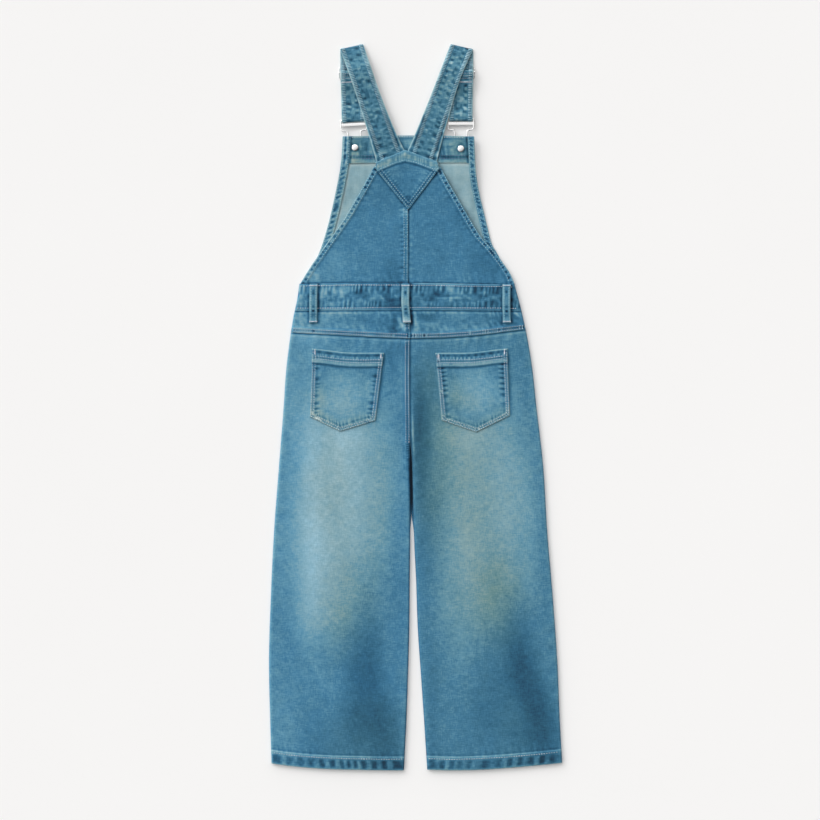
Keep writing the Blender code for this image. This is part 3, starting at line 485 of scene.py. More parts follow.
def twill(name, tones, grain):
    """Washed cotton twill, coloured by its fading and painted shade, with slubs both ways, soft clouds and
    diagonal ribs.
    """
    nodes = new_material(name)
    wear_and_shade = nodes.attribute("wear_and_shade")
    weft = nodes.noise(420, 2, stretch=(0.35, 1.5, 1.0))
    warp = nodes.noise(420, 2, stretch=(1.5, 0.35, 1.0))
    ribs = nodes.bands(TWILL_SCALE)

    def about_zero(source, amount):
        return nodes.math("MULTIPLY", nodes.math("SUBTRACT", source, 0.5), amount)

    for source, amount in ((weft, 0.95), (warp, 0.8), (nodes.noise(130, 3), 0.5), (ribs, 0.15)):
        wear_and_shade = nodes.math("ADD", wear_and_shade, about_zero(source, grain * amount))
    span = MOST_WEAR_AND_SHADE - LEAST_WEAR_AND_SHADE
    factor = nodes.math("DIVIDE", nodes.math("SUBTRACT", wear_and_shade, LEAST_WEAR_AND_SHADE), span)
    colour = nodes.ramp(factor, [((at - LEAST_WEAR_AND_SHADE) / span, tone) for at, tone in tones])
    drift = about_zero(nodes.noise(110, 2), 0.55)
    greyness = nodes.math("ADD", nodes.math("ADD", nodes.attribute("grey_and_shade"), drift), EVEN_GREY)
    tint = nodes.mix("MIX", greyness, CLEAR_TINT, GREY_TINT)
    roughness = nodes.math("ADD", 0.78, nodes.math("MULTIPLY", weft, 0.16))
    nodes.shade(
        nodes.mix("MULTIPLY", 1.0, colour, tint), roughness, Sheen_Weight=0.06, Sheen_Roughness=0.6,
        Specular_IOR_Level=0.2,
    )
    height = nodes.math("ADD", ribs, nodes.math("MULTIPLY", nodes.math("ADD", weft, warp), 0.9))
    nodes.bump(height, 0.5, 0.16)
    return nodes.owner


def thread(name, colour, dark):
    """Twisted sewing thread, a little uneven in tone."""
    nodes = new_material(name)
    nodes.shade(nodes.ramp(nodes.noise(260, 2), [(0.3, dark), (0.7, colour)]), 0.6, Sheen_Weight=0.2)
    nodes.bump(nodes.bands(1100), 0.5, 0.08)
    return nodes.owner


def nickel():
    """Bright nickel plate, softened by fine wear."""
    nodes = new_material("nickel")
    grain = nodes.noise(1400, 3, stretch=(1, 4, 1))
    tint = nodes.ramp(grain, [(0.3, (0.80, 0.80, 0.80, 1)), (0.7, (0.93, 0.93, 0.92, 1))])
    nodes.shade(tint, nodes.math("ADD", 0.16, nodes.math("MULTIPLY", grain, 0.16)), Metallic=1.0)
    nodes.bump(grain, 0.15, 0.03)
    return nodes.owner


DENIM = twill("washed_denim", DENIM_TONES, 0.85)
WRONG_SIDE = twill("denim_wrong_side_cloth", WRONG_SIDE_TONES, 0.6)
PALE_THREAD = thread("pale_thread", screen(228, 230, 236), screen(186, 196, 210))
LADDER_THREAD = thread("ladder_thread", screen(188, 222, 230), screen(130, 178, 196))
DUSKY_THREAD = thread("dusky_thread", screen(112, 122, 156), screen(70, 86, 124))
NICKEL = nickel()


# ---- heights of the lying cloth ----------------------------------------------------------------


def bib_lift(x, y):
    """How far the metal under its top corners holds the front bib off the floor."""
    left, right = BUTTONS["left"][0], BUTTONS["right"][0]
    half = (right - left) / 2
    from_middle = np.minimum(np.abs(x - (left + right) / 2), half)
    across = MIDDLE_LIFT + (CORNER_LIFT - MIDDLE_LIFT) * (1 - np.cos(math.pi * from_middle / half)) / 2
    return across * fade(y, *RAMP)


def back_bib_top(x, y):
    return BACK_BIB_UNDERSIDE + WALL + bib_lift(x, y)


# The drag folds beside the fork and the slack of the legs: x, reach, y, reach, height
DRAG_FOLDS = (
    (-5, 5, -38, 75, 0.5), (6, 11, -30, 80, -0.8), (-20, 12, -40, 70, -0.5), (-105, 60, -330, 150, 0.35),
    (90, 60, -360, 150, 0.35),
)


def back_leg_top(x, y):
    folds = (height * hump(x, at, reach) * hump(y, up, run) for at, reach, up, run, height in DRAG_FOLDS)
    return TROUSER_TOP + sum(folds)


# ---- shells of cloth -------------------------------------------------------------------------

# The outline of a piece: its edges as functions, how much its left and right edges roll towards the
# other layer, from 0 to 1, as functions of y, and where its columns bend.
Outline = namedtuple("Outline", "left right low high roll_left roll_right middle", defaults=(None,) * 3)
RIM_ANGLES = np.radians((-90, -40, 0, 30, 60, 90))
RIM = len(RIM_ANGLES) + 1
OUTERMOST = 3  # where a turned rim reaches furthest out
UNDER = 5.0  # how far a turned edge goes back under the cloth
ROLLED_END = (0.7, 1.05)  # inset and drop of a rolled edge's hidden end
SETTLING_ROUNDS = 7  # edges lean, so a place's x and y are worked out from each other in turns


def rim(thick, under):
    """Insets and drops round an edge from its hidden end: turned under, and rolled."""
    half = thick / 2
    roll_angles = np.radians(np.linspace(0, 90, len(RIM_ANGLES)))
    turned_inset = np.r_[under, half * (1 - np.cos(RIM_ANGLES))]
    turned_drop = np.r_[thick, half * (1 - np.sin(RIM_ANGLES))]
    rolled_inset = np.r_[ROLLED_END[0], ROLL * (1 - np.cos(roll_angles))]
    rolled_drop = np.r_[ROLLED_END[1], 1 - np.sin(roll_angles)]
    return turned_inset, turned_drop, rolled_inset, rolled_drop


def lattice(outline, step, thick, under):
    """Plan places over an outline, and how far each is turned under and rolled down."""
    turned_inset, turned_drop, rolled_inset, rolled_drop = rim(thick, under)
    middle_y = (outline.low(0.0) + outline.high(0.0)) / 2
    columns = max(int(float(outline.right(middle_y) - outline.left(middle_y)) / step), 2)
    rows = max(int(float(outline.high(0.0) - outline.low(0.0)) / step), 2)
    shares = (np.arange(columns) + 1) / (columns + 1)
    y_shares = ((np.arange(rows) + 1) / (rows + 1))[:, None]
    x = np.zeros((rows + 2 * RIM, columns + 2 * RIM))
    y = np.full_like(x, middle_y)
    roll_left = outline.roll_left or np.zeros_like
    roll_right = outline.roll_right or np.zeros_like

    def inset(roll):
        return turned_inset * (1 - roll) + rolled_inset * roll

    for _ in range(SETTLING_ROUNDS):
        first, core, last = y[:, :RIM], y[:, RIM:-RIM], y[:, -RIM:]
        x[:, :RIM] = outline.left(first) + inset(roll_left(first))
        x[:, -RIM:] = outline.right(last) - inset(roll_right(last)[:, ::-1])[:, ::-1]
        low = outline.left(core) + np.maximum(roll_left(core) * ROLL, thick / 2)
        high = outline.right(core) - np.maximum(roll_right(core) * ROLL, thick / 2)
        bend = outline.middle(core) if outline.middle else (low + high) / 2
        x[:, RIM:-RIM] = np.where(
            shares < 0.5, low + 2 * shares * (bend - low), bend + (2 * shares - 1) * (high - bend)
        )
        y[:RIM] = outline.low(x[:RIM]) + turned_inset[:, None]
        y[-RIM:] = outline.high(x[-RIM:]) - turned_inset[::-1, None]
        low = outline.low(x[RIM:-RIM]) + thick / 2
        high = outline.high(x[RIM:-RIM]) - thick / 2
        y[RIM:-RIM] = low + y_shares * (high - low)

    turned, rolled = np.zeros_like(x), np.zeros_like(x)
    left_roll, right_roll = roll_left(y[:, :RIM]), roll_right(y[:, -RIM:])
    turned[:, :RIM] = turned_drop * (1 - left_roll)
    turned[:, -RIM:] = turned_drop[::-1] * (1 - right_roll)
    rolled[:, :RIM] = rolled_drop * left_roll
    rolled[:, -RIM:] = rolled_drop[::-1] * right_roll
    turned[:RIM] = np.maximum(turned[:RIM], turned_drop[:, None])
    turned[-RIM:] = np.maximum(turned[-RIM:], turned_drop[::-1, None])
    return x, y, turned, rolled


def plan_area(x, y):
    """The area of a grid's quads in plan, up to the outermost points of its rims."""
    outermost = slice(OUTERMOST, -OUTERMOST)
    x, y = x[outermost, outermost], y[outermost, outermost]
    one = x[1:, 1:] - x[:-1, :-1], y[1:, 1:] - y[:-1, :-1]
    other = x[1:, :-1] - x[:-1, 1:], y[1:, :-1] - y[:-1, 1:]
    return float(np.abs(one[0] * other[1] - one[1] * other[0]).sum() / 2)


def grid_faces(rows, columns, closed_columns=False):
    """Quads of a grid of points, as indices."""
    index = np.arange(rows * columns).reshape(rows, columns)
    ahead = np.roll(index, -1, axis=1)
    if not closed_columns:
        index, ahead = index[:, :-1], ahead[:, :-1]
    return np.stack((index[:-1], ahead[:-1], ahead[1:], index[1:]), axis=-1).reshape(-1, 4)


def tube_faces(rings, count):
    """Faces of a tube of rings of points, with a cap at both ends."""
    first = tuple(range(count))
    last = tuple(range((rings - 1) * count, rings * count))
    return [*map(tuple, grid_faces(rings, count, closed_columns=True)), first[::-1], last]


def mesh_object(name, points, faces, materials, wear_and_shade=None, grey_and_shade=None, parent=None):
    points = np.maximum(points, (-math.inf, -math.inf, 0))  # nothing goes below the floor
    mesh = bpy.data.meshes.new(name)
    mesh.from_pydata(points * MILLIMETRE, [], faces)
    mesh.shade_smooth()
    for material in materials:
        mesh.materials.append(material)
    for kind, amounts in (("wear_and_shade", wear_and_shade), ("grey_and_shade", grey_and_shade)):
        if amounts is not None:
            values = mesh.attributes.new(kind, "FLOAT", "POINT").data
            values.foreach_set("value", np.asarray(amounts, np.float32).ravel())
    return placed(name, mesh, parent)


def placed(name, data, parent=None):
    """A new object in the scene, which shows the data that it's given."""
    made = bpy.data.objects.new(name, data)
    made.parent = parent
    bpy.context.scene.collection.objects.link(made)
    return made


def joins(piece, node):
    """The piece stands for a node of the frame, and takes its place on the body."""
    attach(piece, "root")
    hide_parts(node)


def cut_piece(node, outline, look, step=1.5, thick=WALL, under=UNDER, front=False, strip=None):
    """The outer face of one cut piece. look(x, y) gives its height, fading with painted shade, and greyness
    in plan.
    strip is the width of a piece that is cut as a narrow band and follows a curve."""
    x, y, turned, rolled = lattice(outline, step, thick, under)
    height, wear_and_shade, grey_and_shade = look(x, y)
    drop = turned * (1 - rolled) + rolled * np.abs(height - SEAM_LEVEL)
    z = height + drop if front else height - drop
    faces = grid_faces(*x.shape)[:, :: -1 if front else 1]
    points = np.stack((x, y, z), axis=-1).reshape(-1, 3)
    piece = mesh_object(f"{node}_cloth", points, faces, [DENIM], wear_and_shade, grey_and_shade)
    joins(piece, node)
    area = plan_area(x, y)
    width, length = np.ptp(x), np.ptp(y)
    if strip:
        width, length = strip + 2 * under, area / strip
        area = width * length
    return piece


# ---- stitches --------------------------------------------------------------------------------


def resampled(points, pitch):
    """Points at an even pitch along a polyline."""
    points = np.asarray(points, float)
    travelled = np.r_[0, np.cumsum(np.linalg.norm(np.diff(points, axis=0), axis=1))]
    count = max(int(travelled[-1] / pitch), 1)
    at = (np.arange(count + 1) - count / 2) * pitch + travelled[-1] / 2
    return np.stack([np.interp(at, travelled, points[:, k]) for k in range(points.shape[1])], axis=1)


# Rings along a thread: share of its length, thickness and rise
THREAD_RINGS = ((0.0, 0.3, -0.5), (0.14, 0.95, 0.25), (0.5, 1.0, 0.5), (0.86, 0.95, 0.25), (1.0, 0.3, -0.5))
THREAD_CORNERS = np.radians((45, 135, 225, 315))
THREAD_FLATNESS = 0.8
WANDER = 0.35  # how far a row of stitches strays, and how much its threads differ in thickness
TACK_BARS = 9


def capsules(piece, suffix, starts, ends, sides, radius, material=None):
    """Short threads on a piece from starts to ends, each proud in the middle and sunk at both ends."""
    axis = ends - starts
    ahead = axis / np.linalg.norm(axis, axis=1, keepdims=True)
    across = np.cross(sides, ahead)
    across /= np.linalg.norm(across, axis=1, keepdims=True)
    up = np.cross(ahead, across)
    points = []
    for share, thickness, rise in THREAD_RINGS:
        middle = starts + axis * share + up * rise * radius
        for angle in THREAD_CORNERS:
            offset = across * math.cos(angle) + up * math.sin(angle) * THREAD_FLATNESS
            points.append(middle + offset * radius * thickness)
    points = np.stack(points, axis=1)
    one = np.array(tube_faces(len(THREAD_RINGS), len(THREAD_CORNERS)))
    faces = one + (np.arange(len(starts)) * points.shape[1])[:, None, None]
    mesh_object(
        f"{piece.name}_{suffix}", points.reshape(-1, 3), faces.reshape(-1, 4), [material or PALE_THREAD],
        parent=piece,
    )


def sewn(piece, suffix, starts, ends, look, radius, material=None, sign=1):
    """Threads between places in plan, laid on the cloth's height."""
    starts, ends = (np.c_[at, look(*np.transpose(at))[0]] for at in (starts, ends))
    up = np.tile((0, 0, sign), (len(starts), 1))
    capsules(piece, suffix, starts, ends, up, radius, material)


def stitch(piece, rows, look, material=None, suffix="stitches", radius=THREAD_RADIUS, front=False):
    """Rows of stitches on a piece, along plan polylines, one child object for them all."""
    starts, ends, weights = [], [], []
    for number, row in enumerate(rows):
        at = resampled(row, STITCH_PITCH)
        place = np.arange(len(at))
        at = at + WANDER * noise(500 + number, place[:, None] / 5, np.array([0.5, 7.5]))
        weights.append(0.9 + WANDER * noise(520 + number, place[:-1] / 4))
        starts.append(at[:-1])
        ends.append(at[:-1] + np.diff(at, axis=0) * (STITCH_LENGTH / STITCH_PITCH))
    radii = radius * np.concatenate(weights)[:, None]
    sewn(piece, suffix, np.vstack(starts), np.vstack(ends), look, radii, material, -1 if front else 1)


def bar_tack(piece, places, look, half_width, radius, half_length=0.8):
    """Dense short bars of thread across each (x, y, degrees)."""
    starts, ends = [], []
    for x, y, lean in places:
        ahead = np.array((math.cos(math.radians(lean)), math.sin(math.radians(lean))))
        across = np.array((-ahead[1], ahead[0])) * half_length
        for share in np.linspace(-1, 1, TACK_BARS):
            middle = np.array((x, y)) + ahead * share * half_width
            starts.append(middle - across)
            ends.append(middle + across)
    sewn(piece, "tacks", starts, ends, look, radius)


def across_body(edge, offset, start, end):
    """A plan line that follows an edge across the body."""
    x = np.arange(start, end, 2.0)
    return np.stack((x, edge(x) + offset), axis=1)


def up_body(edge, offset, start, end):
    """A plan line that follows an edge up the body."""
    return across_body(edge, offset, start, end)[:, ::-1]


# ---- edges -----------------------------------------------------------------------------------


def side(table, column=1):
    return lambda at: smooth(table, at, column)


def both_sides(table):
    return {"left": side(table, 1), "right": side(table, 2)}


def constant(value):
    return lambda at: np.full_like(np.asarray(at, float), value)


def shifted(edge, by):
    return lambda at: edge(at) + by


def across_line(*points):
    """A broken line across the body: y at each x."""
    return lambda x: straight(points, x)


def up_line(*points):
    """A broken line up the body: x at each y."""
    return lambda y: straight([point[::-1] for point in points], y)


def always(y):
    return np.ones_like(y)


def inward(edges, which, x, y):
    """Distance in from a left or right edge."""
    return x - edges[which](y) if which == "left" else edges[which](y) - x


TROUSERS = both_sides(TROUSER_SIDES)
INSEAM = both_sides(BACK_INSEAMS)
BIB = both_sides(BACK_BIB_SIDES)
FRONT_BIB = both_sides(FRONT_BIB_SIDES)
HEM = {"left": side(HEM_LEFT), "right": side(HEM_RIGHT)}
YOKE_EDGE = side(YOKE_SEAM)
WAIST_BOTTOM, WAIST_TOP = side(WAIST_LOW), side(WAIST_HIGH)
BIB_LOW = shifted(WAIST_TOP, -TUCK)
FRONT_TOP, FACING_EDGE = side(FRONT_BIB_TOP), side(FACING_LOW)
KEYSTONE_EDGE = across_line(KEYSTONE_LEFT[0], KEYSTONE_POINT, KEYSTONE_RIGHT[0])
KEYSTONE_TOP = across_line(KEYSTONE_LEFT[1], KEYSTONE_APEX, KEYSTONE_RIGHT[1])


# ---- trousers --------------------------------------------------------------------------------

# Every table of fades or greys has rows as Look.patches takes them.
# Fades of the legs, with some patches of painted shade: right of the centre seam on the right leg, and in a
# fold by the left pocket.
LEG_FADES_AND_SHADE = {
    "left": (
        (-122, -150, 62, 215, 0.72), (-118, -40, 44, 60, 0.18), (-70, -90, 50, 120, 0.35),
        (-148, -140, 16, 150, 0.22), (-150, -296, 20, 40, 0.16), (-24, -90, 10, 50, 0.1),
        (-188, 20, 26, 120, 0.26), (-196, -180, 12, 260, 0.1), (-186, -470, 26, 90, 0.2),
        (-100, -345, 40, 40, -0.18), (-74, -400, 30, 90, -0.52), (-66, -330, 22, 60, -0.2),
        (-42, -470, 22, 70, -0.46), (-120, -460, 50, 40, -0.12), (-36, 66, 4, 16, -0.3, 20),
        (-28, 80, 14, 12, -0.2), (-151, -193, 30, 105, 0.17), (-47, -158, 17, 155, 0.12),
        (-186, -53, 20, 56, -0.14), (-89, -40, 34, 20, 0.18), (-75, -340, 20, 28, 0.16),
        (-159, 80, 22, 25, 0.14), (-145, 98, 36, 8, 0.24), (-14, 35, 10, 34, 0.2),
        (-132, -205, 20, 70, 0.1),
    ),
    "right": (
        (100, -120, 62, 200, 0.5), (66, -250, 40, 140, 0.4), (134, -140, 30, 110, 0.26),
        (164, -160, 16, 140, 0.14), (146, 60, 30, 40, -0.08), (86, 0, 46, 70, 0.16),
        (3, 6, 9, 50, -0.34), (9, -56, 12, 74, -0.56, -3), (150, -340, 26, 60, -0.3),
        (162, -410, 22, 90, -0.5, 10), (184, -450, 20, 70, -0.36, 14), (110, -400, 40, 90, -0.26),
        (22, -440, 10, 90, -0.16), (58, -34, 42, 22, 0.22), (62, -74, 48, 34, 0.1),
        (172, -350, 22, 50, 0.12), (79, -242, 36, 100, -0.14), (160, -270, 20, 98, 0.1),
        (93, 82, 24, 14, -0.2), (11, -214, 14, 110, -0.1), (149, -469, 17, 25, -0.22),
    ),
}
LEG_GREYS = {
    "left": (
        (-89, -270, 36, 70, 0.8), (-50, -158, 22, 154, 0.45), (-155, -46, 25, 42, -0.35),
        (-155, -172, 28, 126, -0.3), (-95, -39, 28, 24, -0.1), (-110, -320, 26, 50, 0.35),
        (-122, -118, 34, 80, 0.45), (-61, -465, 70, 52, 0.65), (-145, 100, 34, 10, -0.3),
    ),
    "right": (
        (23, -60, 34, 98, 0.85), (69, -39, 36, 70, 0.3), (20, -150, 20, 50, 0.32),
        (111, -263, 39, 70, 0.55), (12, 46, 20, 36, 0.5), (14, -116, 26, 130, 0.12),
        (76, -228, 50, 110, 0.35), (80, -120, 36, 70, 0.35), (120, -267, 32, 56, 0.45),
        (145, -460, 30, 42, 0.25),
    ),
}
ROPE_PITCH = 14.5


def below_fork(y):
    """How much the inner edges of the back legs roll, from the fork down."""
    return 1 - fade(y, *BACK_FORK)


def front_apart(y):
    """How far the front legs are apart, from the fork down."""
    return 1 - fade(y, *FORK)


def leg_outline(which, front):
    roll = front_apart if front else below_fork

    def inner(y):
        if front:
            return FRONT_SEAM_X + roll(y) * (INSEAM[which](y) - FRONT_SEAM_X)
        tuck = 0 if which == "left" else TUCK
        return INSEAM[which](y) - tuck * (1 - roll(y))

    order = slice(None, None, 1 if which == "left" else -1)
    top = shifted(WAIST_BOTTOM if front else YOKE_EDGE, TUCK)
    return Outline(*(TROUSERS[which], inner)[order], HEM[which], top, *(always, roll)[order])


def leg_look(which, x, y):
    """A back leg, with the rope of its twisted hem and its seams, and painted shade: greyer and darker
    to the right, dark beside the pockets, the fork, the centre seam and the yoke, with painted
    highlights on the ridge beside the centre seam and below the yoke.
    """
    left = which == "left"
    seed, sign = (20, 1) if left else (40, -1)
    cloth = Look(seed, x, y)
    cloth.patches(LEG_FADES_AND_SHADE[which])
    cloth.patches(LEG_GREYS[which], "grey_and_shade")
    # painted shade: the right-hand side darker and greyer, as if the light falls from the left
    cloth.add(fade(x, -10, 30), wear_and_shade=-0.05, grey_and_shade=0.36)

    low = y - HEM[which](x)
    in_rope = fade(low, 1.0, 3.0) * (1 - fade(low, 12.0, 14.0))
    rope = np.tanh(2.2 * uneven(x + 0.15 * sign * low, ROPE_PITCH, seed))
    cloth.add(near_edge(low, HEM_DEPTH), lift=0.3)
    cloth.add(in_rope * rope, wear_and_shade=0.50, lift=0.3)
    cloth.add(in_rope, wear_and_shade=-0.34, grey_and_shade=0.15)
    cloth.add(in_rope * noise(seed + 12, x / 3.5, low / 3), wear_and_shade=0.3)
    cloth.lines(low, (0.4, 1.6, 0.55, 0.5), (HEM_STITCH, 1.3, 0.2, 0.4), (HEM_STITCH + 2.8, 1.0, 0.8))
    cloth.lines(low, (HEM_STITCH + 5.2, 1.3, -0.3, 0, -0.15))
    cloth.add(puckers(x, low - HEM_DEPTH, 9.0, seed + 3, 16, 0.2), wear_and_shade=0.14, lift=0.12)

    above_fork = fade(y, -120, -40)
    from_inseam, from_outseam = sign * (INSEAM[which](y) - x), inward(TROUSERS, which, x, y)
    cloth.lines(from_outseam, (1.0, 3.0, 0.22))
    cloth.lines(from_inseam, (3.0, 5.0, 0.10), (0.0, 1.2, -0.5), where=1 - above_fork)
    cloth.add(puckers(y, from_outseam, 26.0, seed + 4, 18, 0.6), wear_and_shade=0.08, lift=0.15)
    cloth.add(puckers(y, from_inseam, 22.0, seed + 5, 16, -0.6), wear_and_shade=0.08, lift=0.12)
    if left:
        cloth.add(near_edge(from_inseam, LAP + 1.6) * above_fork, lift=0.45)
        cloth.seam(from_inseam, y, CENTRE_STITCHES, seed + 6, above_fork)
        # painted shadow along the left leg's inner edge, where the gap between the legs is dark
        cloth.lines(from_inseam, (0.8, 1.6, -1.3), where=hump(y, -88, 62))
    else:
        # painted shadow beside the lapped centre seam, and a painted highlight on the ridge beside it
        cloth.lines(from_inseam, (0.4, 1.6, -1.1), where=above_fork)
        cloth.lines(from_inseam, (3.6, 1.7, 0.95, 0, 0.35), where=hump(y, -36, 60))

    under_yoke = y - YOKE_EDGE(x)
    # painted shadow just under the yoke's edge, and a painted highlight below it
    cloth.lines(under_yoke, (-0.6, 1.4, -0.9), (-3.4, 1.5, 0.42))
    cloth.add(puckers(x, -under_yoke, 15.0, seed + 7, 22, 0.3), wear_and_shade=0.12, lift=0.18)
    cloth.add(fade(under_yoke, 0, 2), lift=-TUCK_DROP)
    # painted shadow beside the right edge of each pocket
    for pocket in POCKETS.values():
        right_gap = x - up_line(pocket.low_right, pocket.top_right)(y)
        cloth.lines(right_gap, (1.4, 2.4, -0.55), where=hump(y, 30, 64))
        cloth.lines(right_gap, (1.4, 2.0, -0.5), where=hump(y, 66, 14))
    return cloth.values(back_leg_top(x, y))


def front_leg_look(which, x, y):
    """The legs' front lies on the floor; round the fork its inner side is painted dark, as shadow."""
    seed, middle = (60, -105) if which == "left" else (70, 90)
    cloth = Look(seed, x, y)
    cloth.add(hump(x, middle, 70) * hump(y, -150, 300), wear_and_shade=0.7)
    cloth.add(np.tanh(2.2 * uneven(x, ROPE_PITCH, seed)) * hump(y - HEM[which](x), 8, 7), wear_and_shade=0.45)
    # painted shadow along the front seam, in the gap between the back legs
    cloth.lines(x, (FRONT_SEAM_X, 9, -2.2), where=fade(y, -170, -120))
    return FRONT_LEG_LEVEL + 0 * x, cloth.wear_and_shade, cloth.grey_and_shade


def make_legs():
    for which in ("left", "right"):
        look = partial(leg_look, which)
        piece = cut_piece(
            f"leg_back_{which}", leg_outline(which, False), look,
            thick=1.5, under=HEM_DEPTH,
        )
        rows = [across_body(HEM[which], HEM_STITCH, *HEM_RUNS[which])]
        seam = CENTRE_STITCHES if which == "left" else ()
        stitch(piece, rows + [up_body(INSEAM[which], -offset, *CENTRE_RUN) for offset in seam], look)
        look = partial(front_leg_look, which)
        piece = cut_piece(
            f"leg_front_{which}", leg_outline(which, True), look, step=5.0, thick=2.1,
            under=HEM_DEPTH, front=True,
        )
        stitch(piece, rows, look, front=True)


# Fades of the yoke, with painted shade and painted highlights beside the centre loop and the centre seam.
YOKE_FADES_SHADE_AND_HIGHLIGHTS = {
    "left": (
        (-165, 118, 18, 14, 0.3), (-95, 112, 30, 6, 0.18), (-45, 118, 22, 14, -0.24),
        (-145, 113, 34, 16, 0.28), (-145, 106, 34, 5, 0.24), (-20, 127, 5, 5, 0.5),
        (-64, 103, 9, 8, 0.25), (-112, 132, 24, 8, 0.28), (-26, 124, 8, 10, -0.5),
        (-30, 108, 8, 7, -0.75), (-21, 114, 4, 4, 0.55, 20), (-25, 110, 5, 2, 0.5, 15),
        (-23, 121, 3, 7, 0.9, 35), (-17, 112, 3, 8, 0.6, 20),
    ),
    "right": (
        (-5, 120, 2.6, 14, -1.1), (0, 117, 3, 8, 0.5, 30), (-1, 126, 3, 8, 0.55, 10),
        (-2, 106, 8, 7, 0.6), (12, 126, 14, 6, -0.45), (53, 122, 18, 16, 0.3),
        (30, 112, 20, 7, 0.3, -20), (60, 120, 22, 7, -0.18), (88, 110, 34, 8, 0.22, 4),
        (128, 118, 24, 10, -0.3), (141, 130, 1.6, 8, 0.6, 52),
    ),
}


def yoke_look(which, x, y):
    left = which == "left"
    seed = 80 if left else 90
    cloth = Look(seed, x, y)
    low, high = y - YOKE_EDGE(x), WAIST_BOTTOM(x) - y
    lap = near_edge(low, LAP + 2.2)
    if left:
        lap = np.maximum(lap, near_edge(YOKE_SEAM_X - x, LAP + 1.6))
        cloth.seam(YOKE_SEAM_X - x, y, CENTRE_STITCHES, seed + 6)
    else:
        # painted shade: the right-hand yoke darker and greyer, and a painted shadow just right of where the
        # left yoke laps over it
        cloth.add(fade(x, -10, 20), wear_and_shade=-0.08, grey_and_shade=0.2)
        cloth.lines(x, (YOKE_SEAM_X + 1, 1.6, -0.9))
        cloth.add(fade(YOKE_SEAM_X - x, 0, 1), lift=-TUCK_DROP)
    cloth.add(lap, lift=LAP_RISE)
    cloth.seam(low, x, YOKE_STITCHES, seed + 2, dots=1.8)
    cloth.lines(low, (3.6, 6.0, 0.14))
    # painted shadow just under the waistband's edge, and a painted highlight below it
    cloth.lines(high, (0.0, 1.5, -1.0), (3.2, 1.5, 0.4))
    cloth.add(noise(seed + 8, x / 5, y / 4), wear_and_shade=0.2, lift=0.1)
    cloth.add(puckers(x, low - LAP - 3, 9.0, seed + 3, 12, 0.5), wear_and_shade=0.22, lift=0.2)
    cloth.add(puckers(x, high, 8.0, seed + 4, 12, -0.3), wear_and_shade=0.22, lift=0.2)
    cloth.add(fade(-high, 0, 2), lift=-TUCK_DROP)
    # painted shadow beside the foot of each belt loop
    for *_, foot_x in LOOPS.values():
        beside = np.abs(x - foot_x)
        cloth.lines(beside, (LOOP_WIDTH / 2 + 1.0, 2.2, -0.7), where=fade(y, LOOP_LOW - 4, LOOP_LOW + 2))
    cloth.patches(YOKE_FADES_SHADE_AND_HIGHLIGHTS[which])
    return cloth.values(YOKE_TOP)


def make_yoke():
    seam, high = constant(YOKE_SEAM_X), shifted(WAIST_BOTTOM, TUCK)
    outlines = {
        "left": Outline(TROUSERS["left"], seam, YOKE_EDGE, high, always),
        "right": Outline(shifted(seam, -TUCK), TROUSERS["right"], YOKE_EDGE, high, None, always),
    }
    for which, outline in outlines.items():
        look = partial(yoke_look, which)
        piece = cut_piece(f"yoke_back_{which}", outline, look, step=0.9)
        rows = [across_body(YOKE_EDGE, offset, *YOKE_RUNS[which]) for offset in YOKE_STITCHES]
        if which == "left":
            rows += [up_body(seam, -offset, *YOKE_CENTRE_RUN) for offset in CENTRE_STITCHES]
        stitch(piece, rows, look)


# Puckers of the waistband that stand out
WAIST_MARKS = (
    (-121.6, 159.6, 2.2, 5, -0.6), (-104, 158, 2, 6, 0.4), (-76.1, 161.7, 9, 5, -0.65),
    (-64.9, 161, 1.3, 8, 0.6, 17), (-54, 150, 5, 4, -0.45), (-44.6, 150.5, 1.2, 7, 0.5, 49),
    (-43.2, 165.2, 2.4, 3, -0.7), (-34.1, 156.8, 1.2, 8, 0.6, -6), (-27.1, 154, 1.2, 5.5, 0.45, 40),
    (-25.7, 161.6, 4, 4.5, -0.6), (9.3, 157.5, 3, 4.5, -0.7), (27.5, 158.2, 7, 4, -0.6),
    (51.3, 152.6, 18, 1.8, 0.5), (64, 160, 2, 6, 0.5, -20), (84.9, 160.3, 5.5, 6.5, -0.75),
    (95, 156, 1.4, 8, 0.6, -24), (109.4, 160.6, 9, 6, -0.8), (106.6, 145.6, 11, 4, -0.55),
    (120, 152, 1.6, 6, 0.45, 18), (-42, 155, 22, 17, -0.38), (-112, 138, 24, 9, 0.28),
    (95, 139, 22, 8, -0.2), (20, 154, 10, 10, -0.2), (95, 170, 26, 7, -0.24), (-122, 168, 36, 11, 0.42),
    (50, 170, 30, 7, 0.26), (-31, 171, 8, 6, -0.4), (-32, 144, 9, 9, -0.7),
)


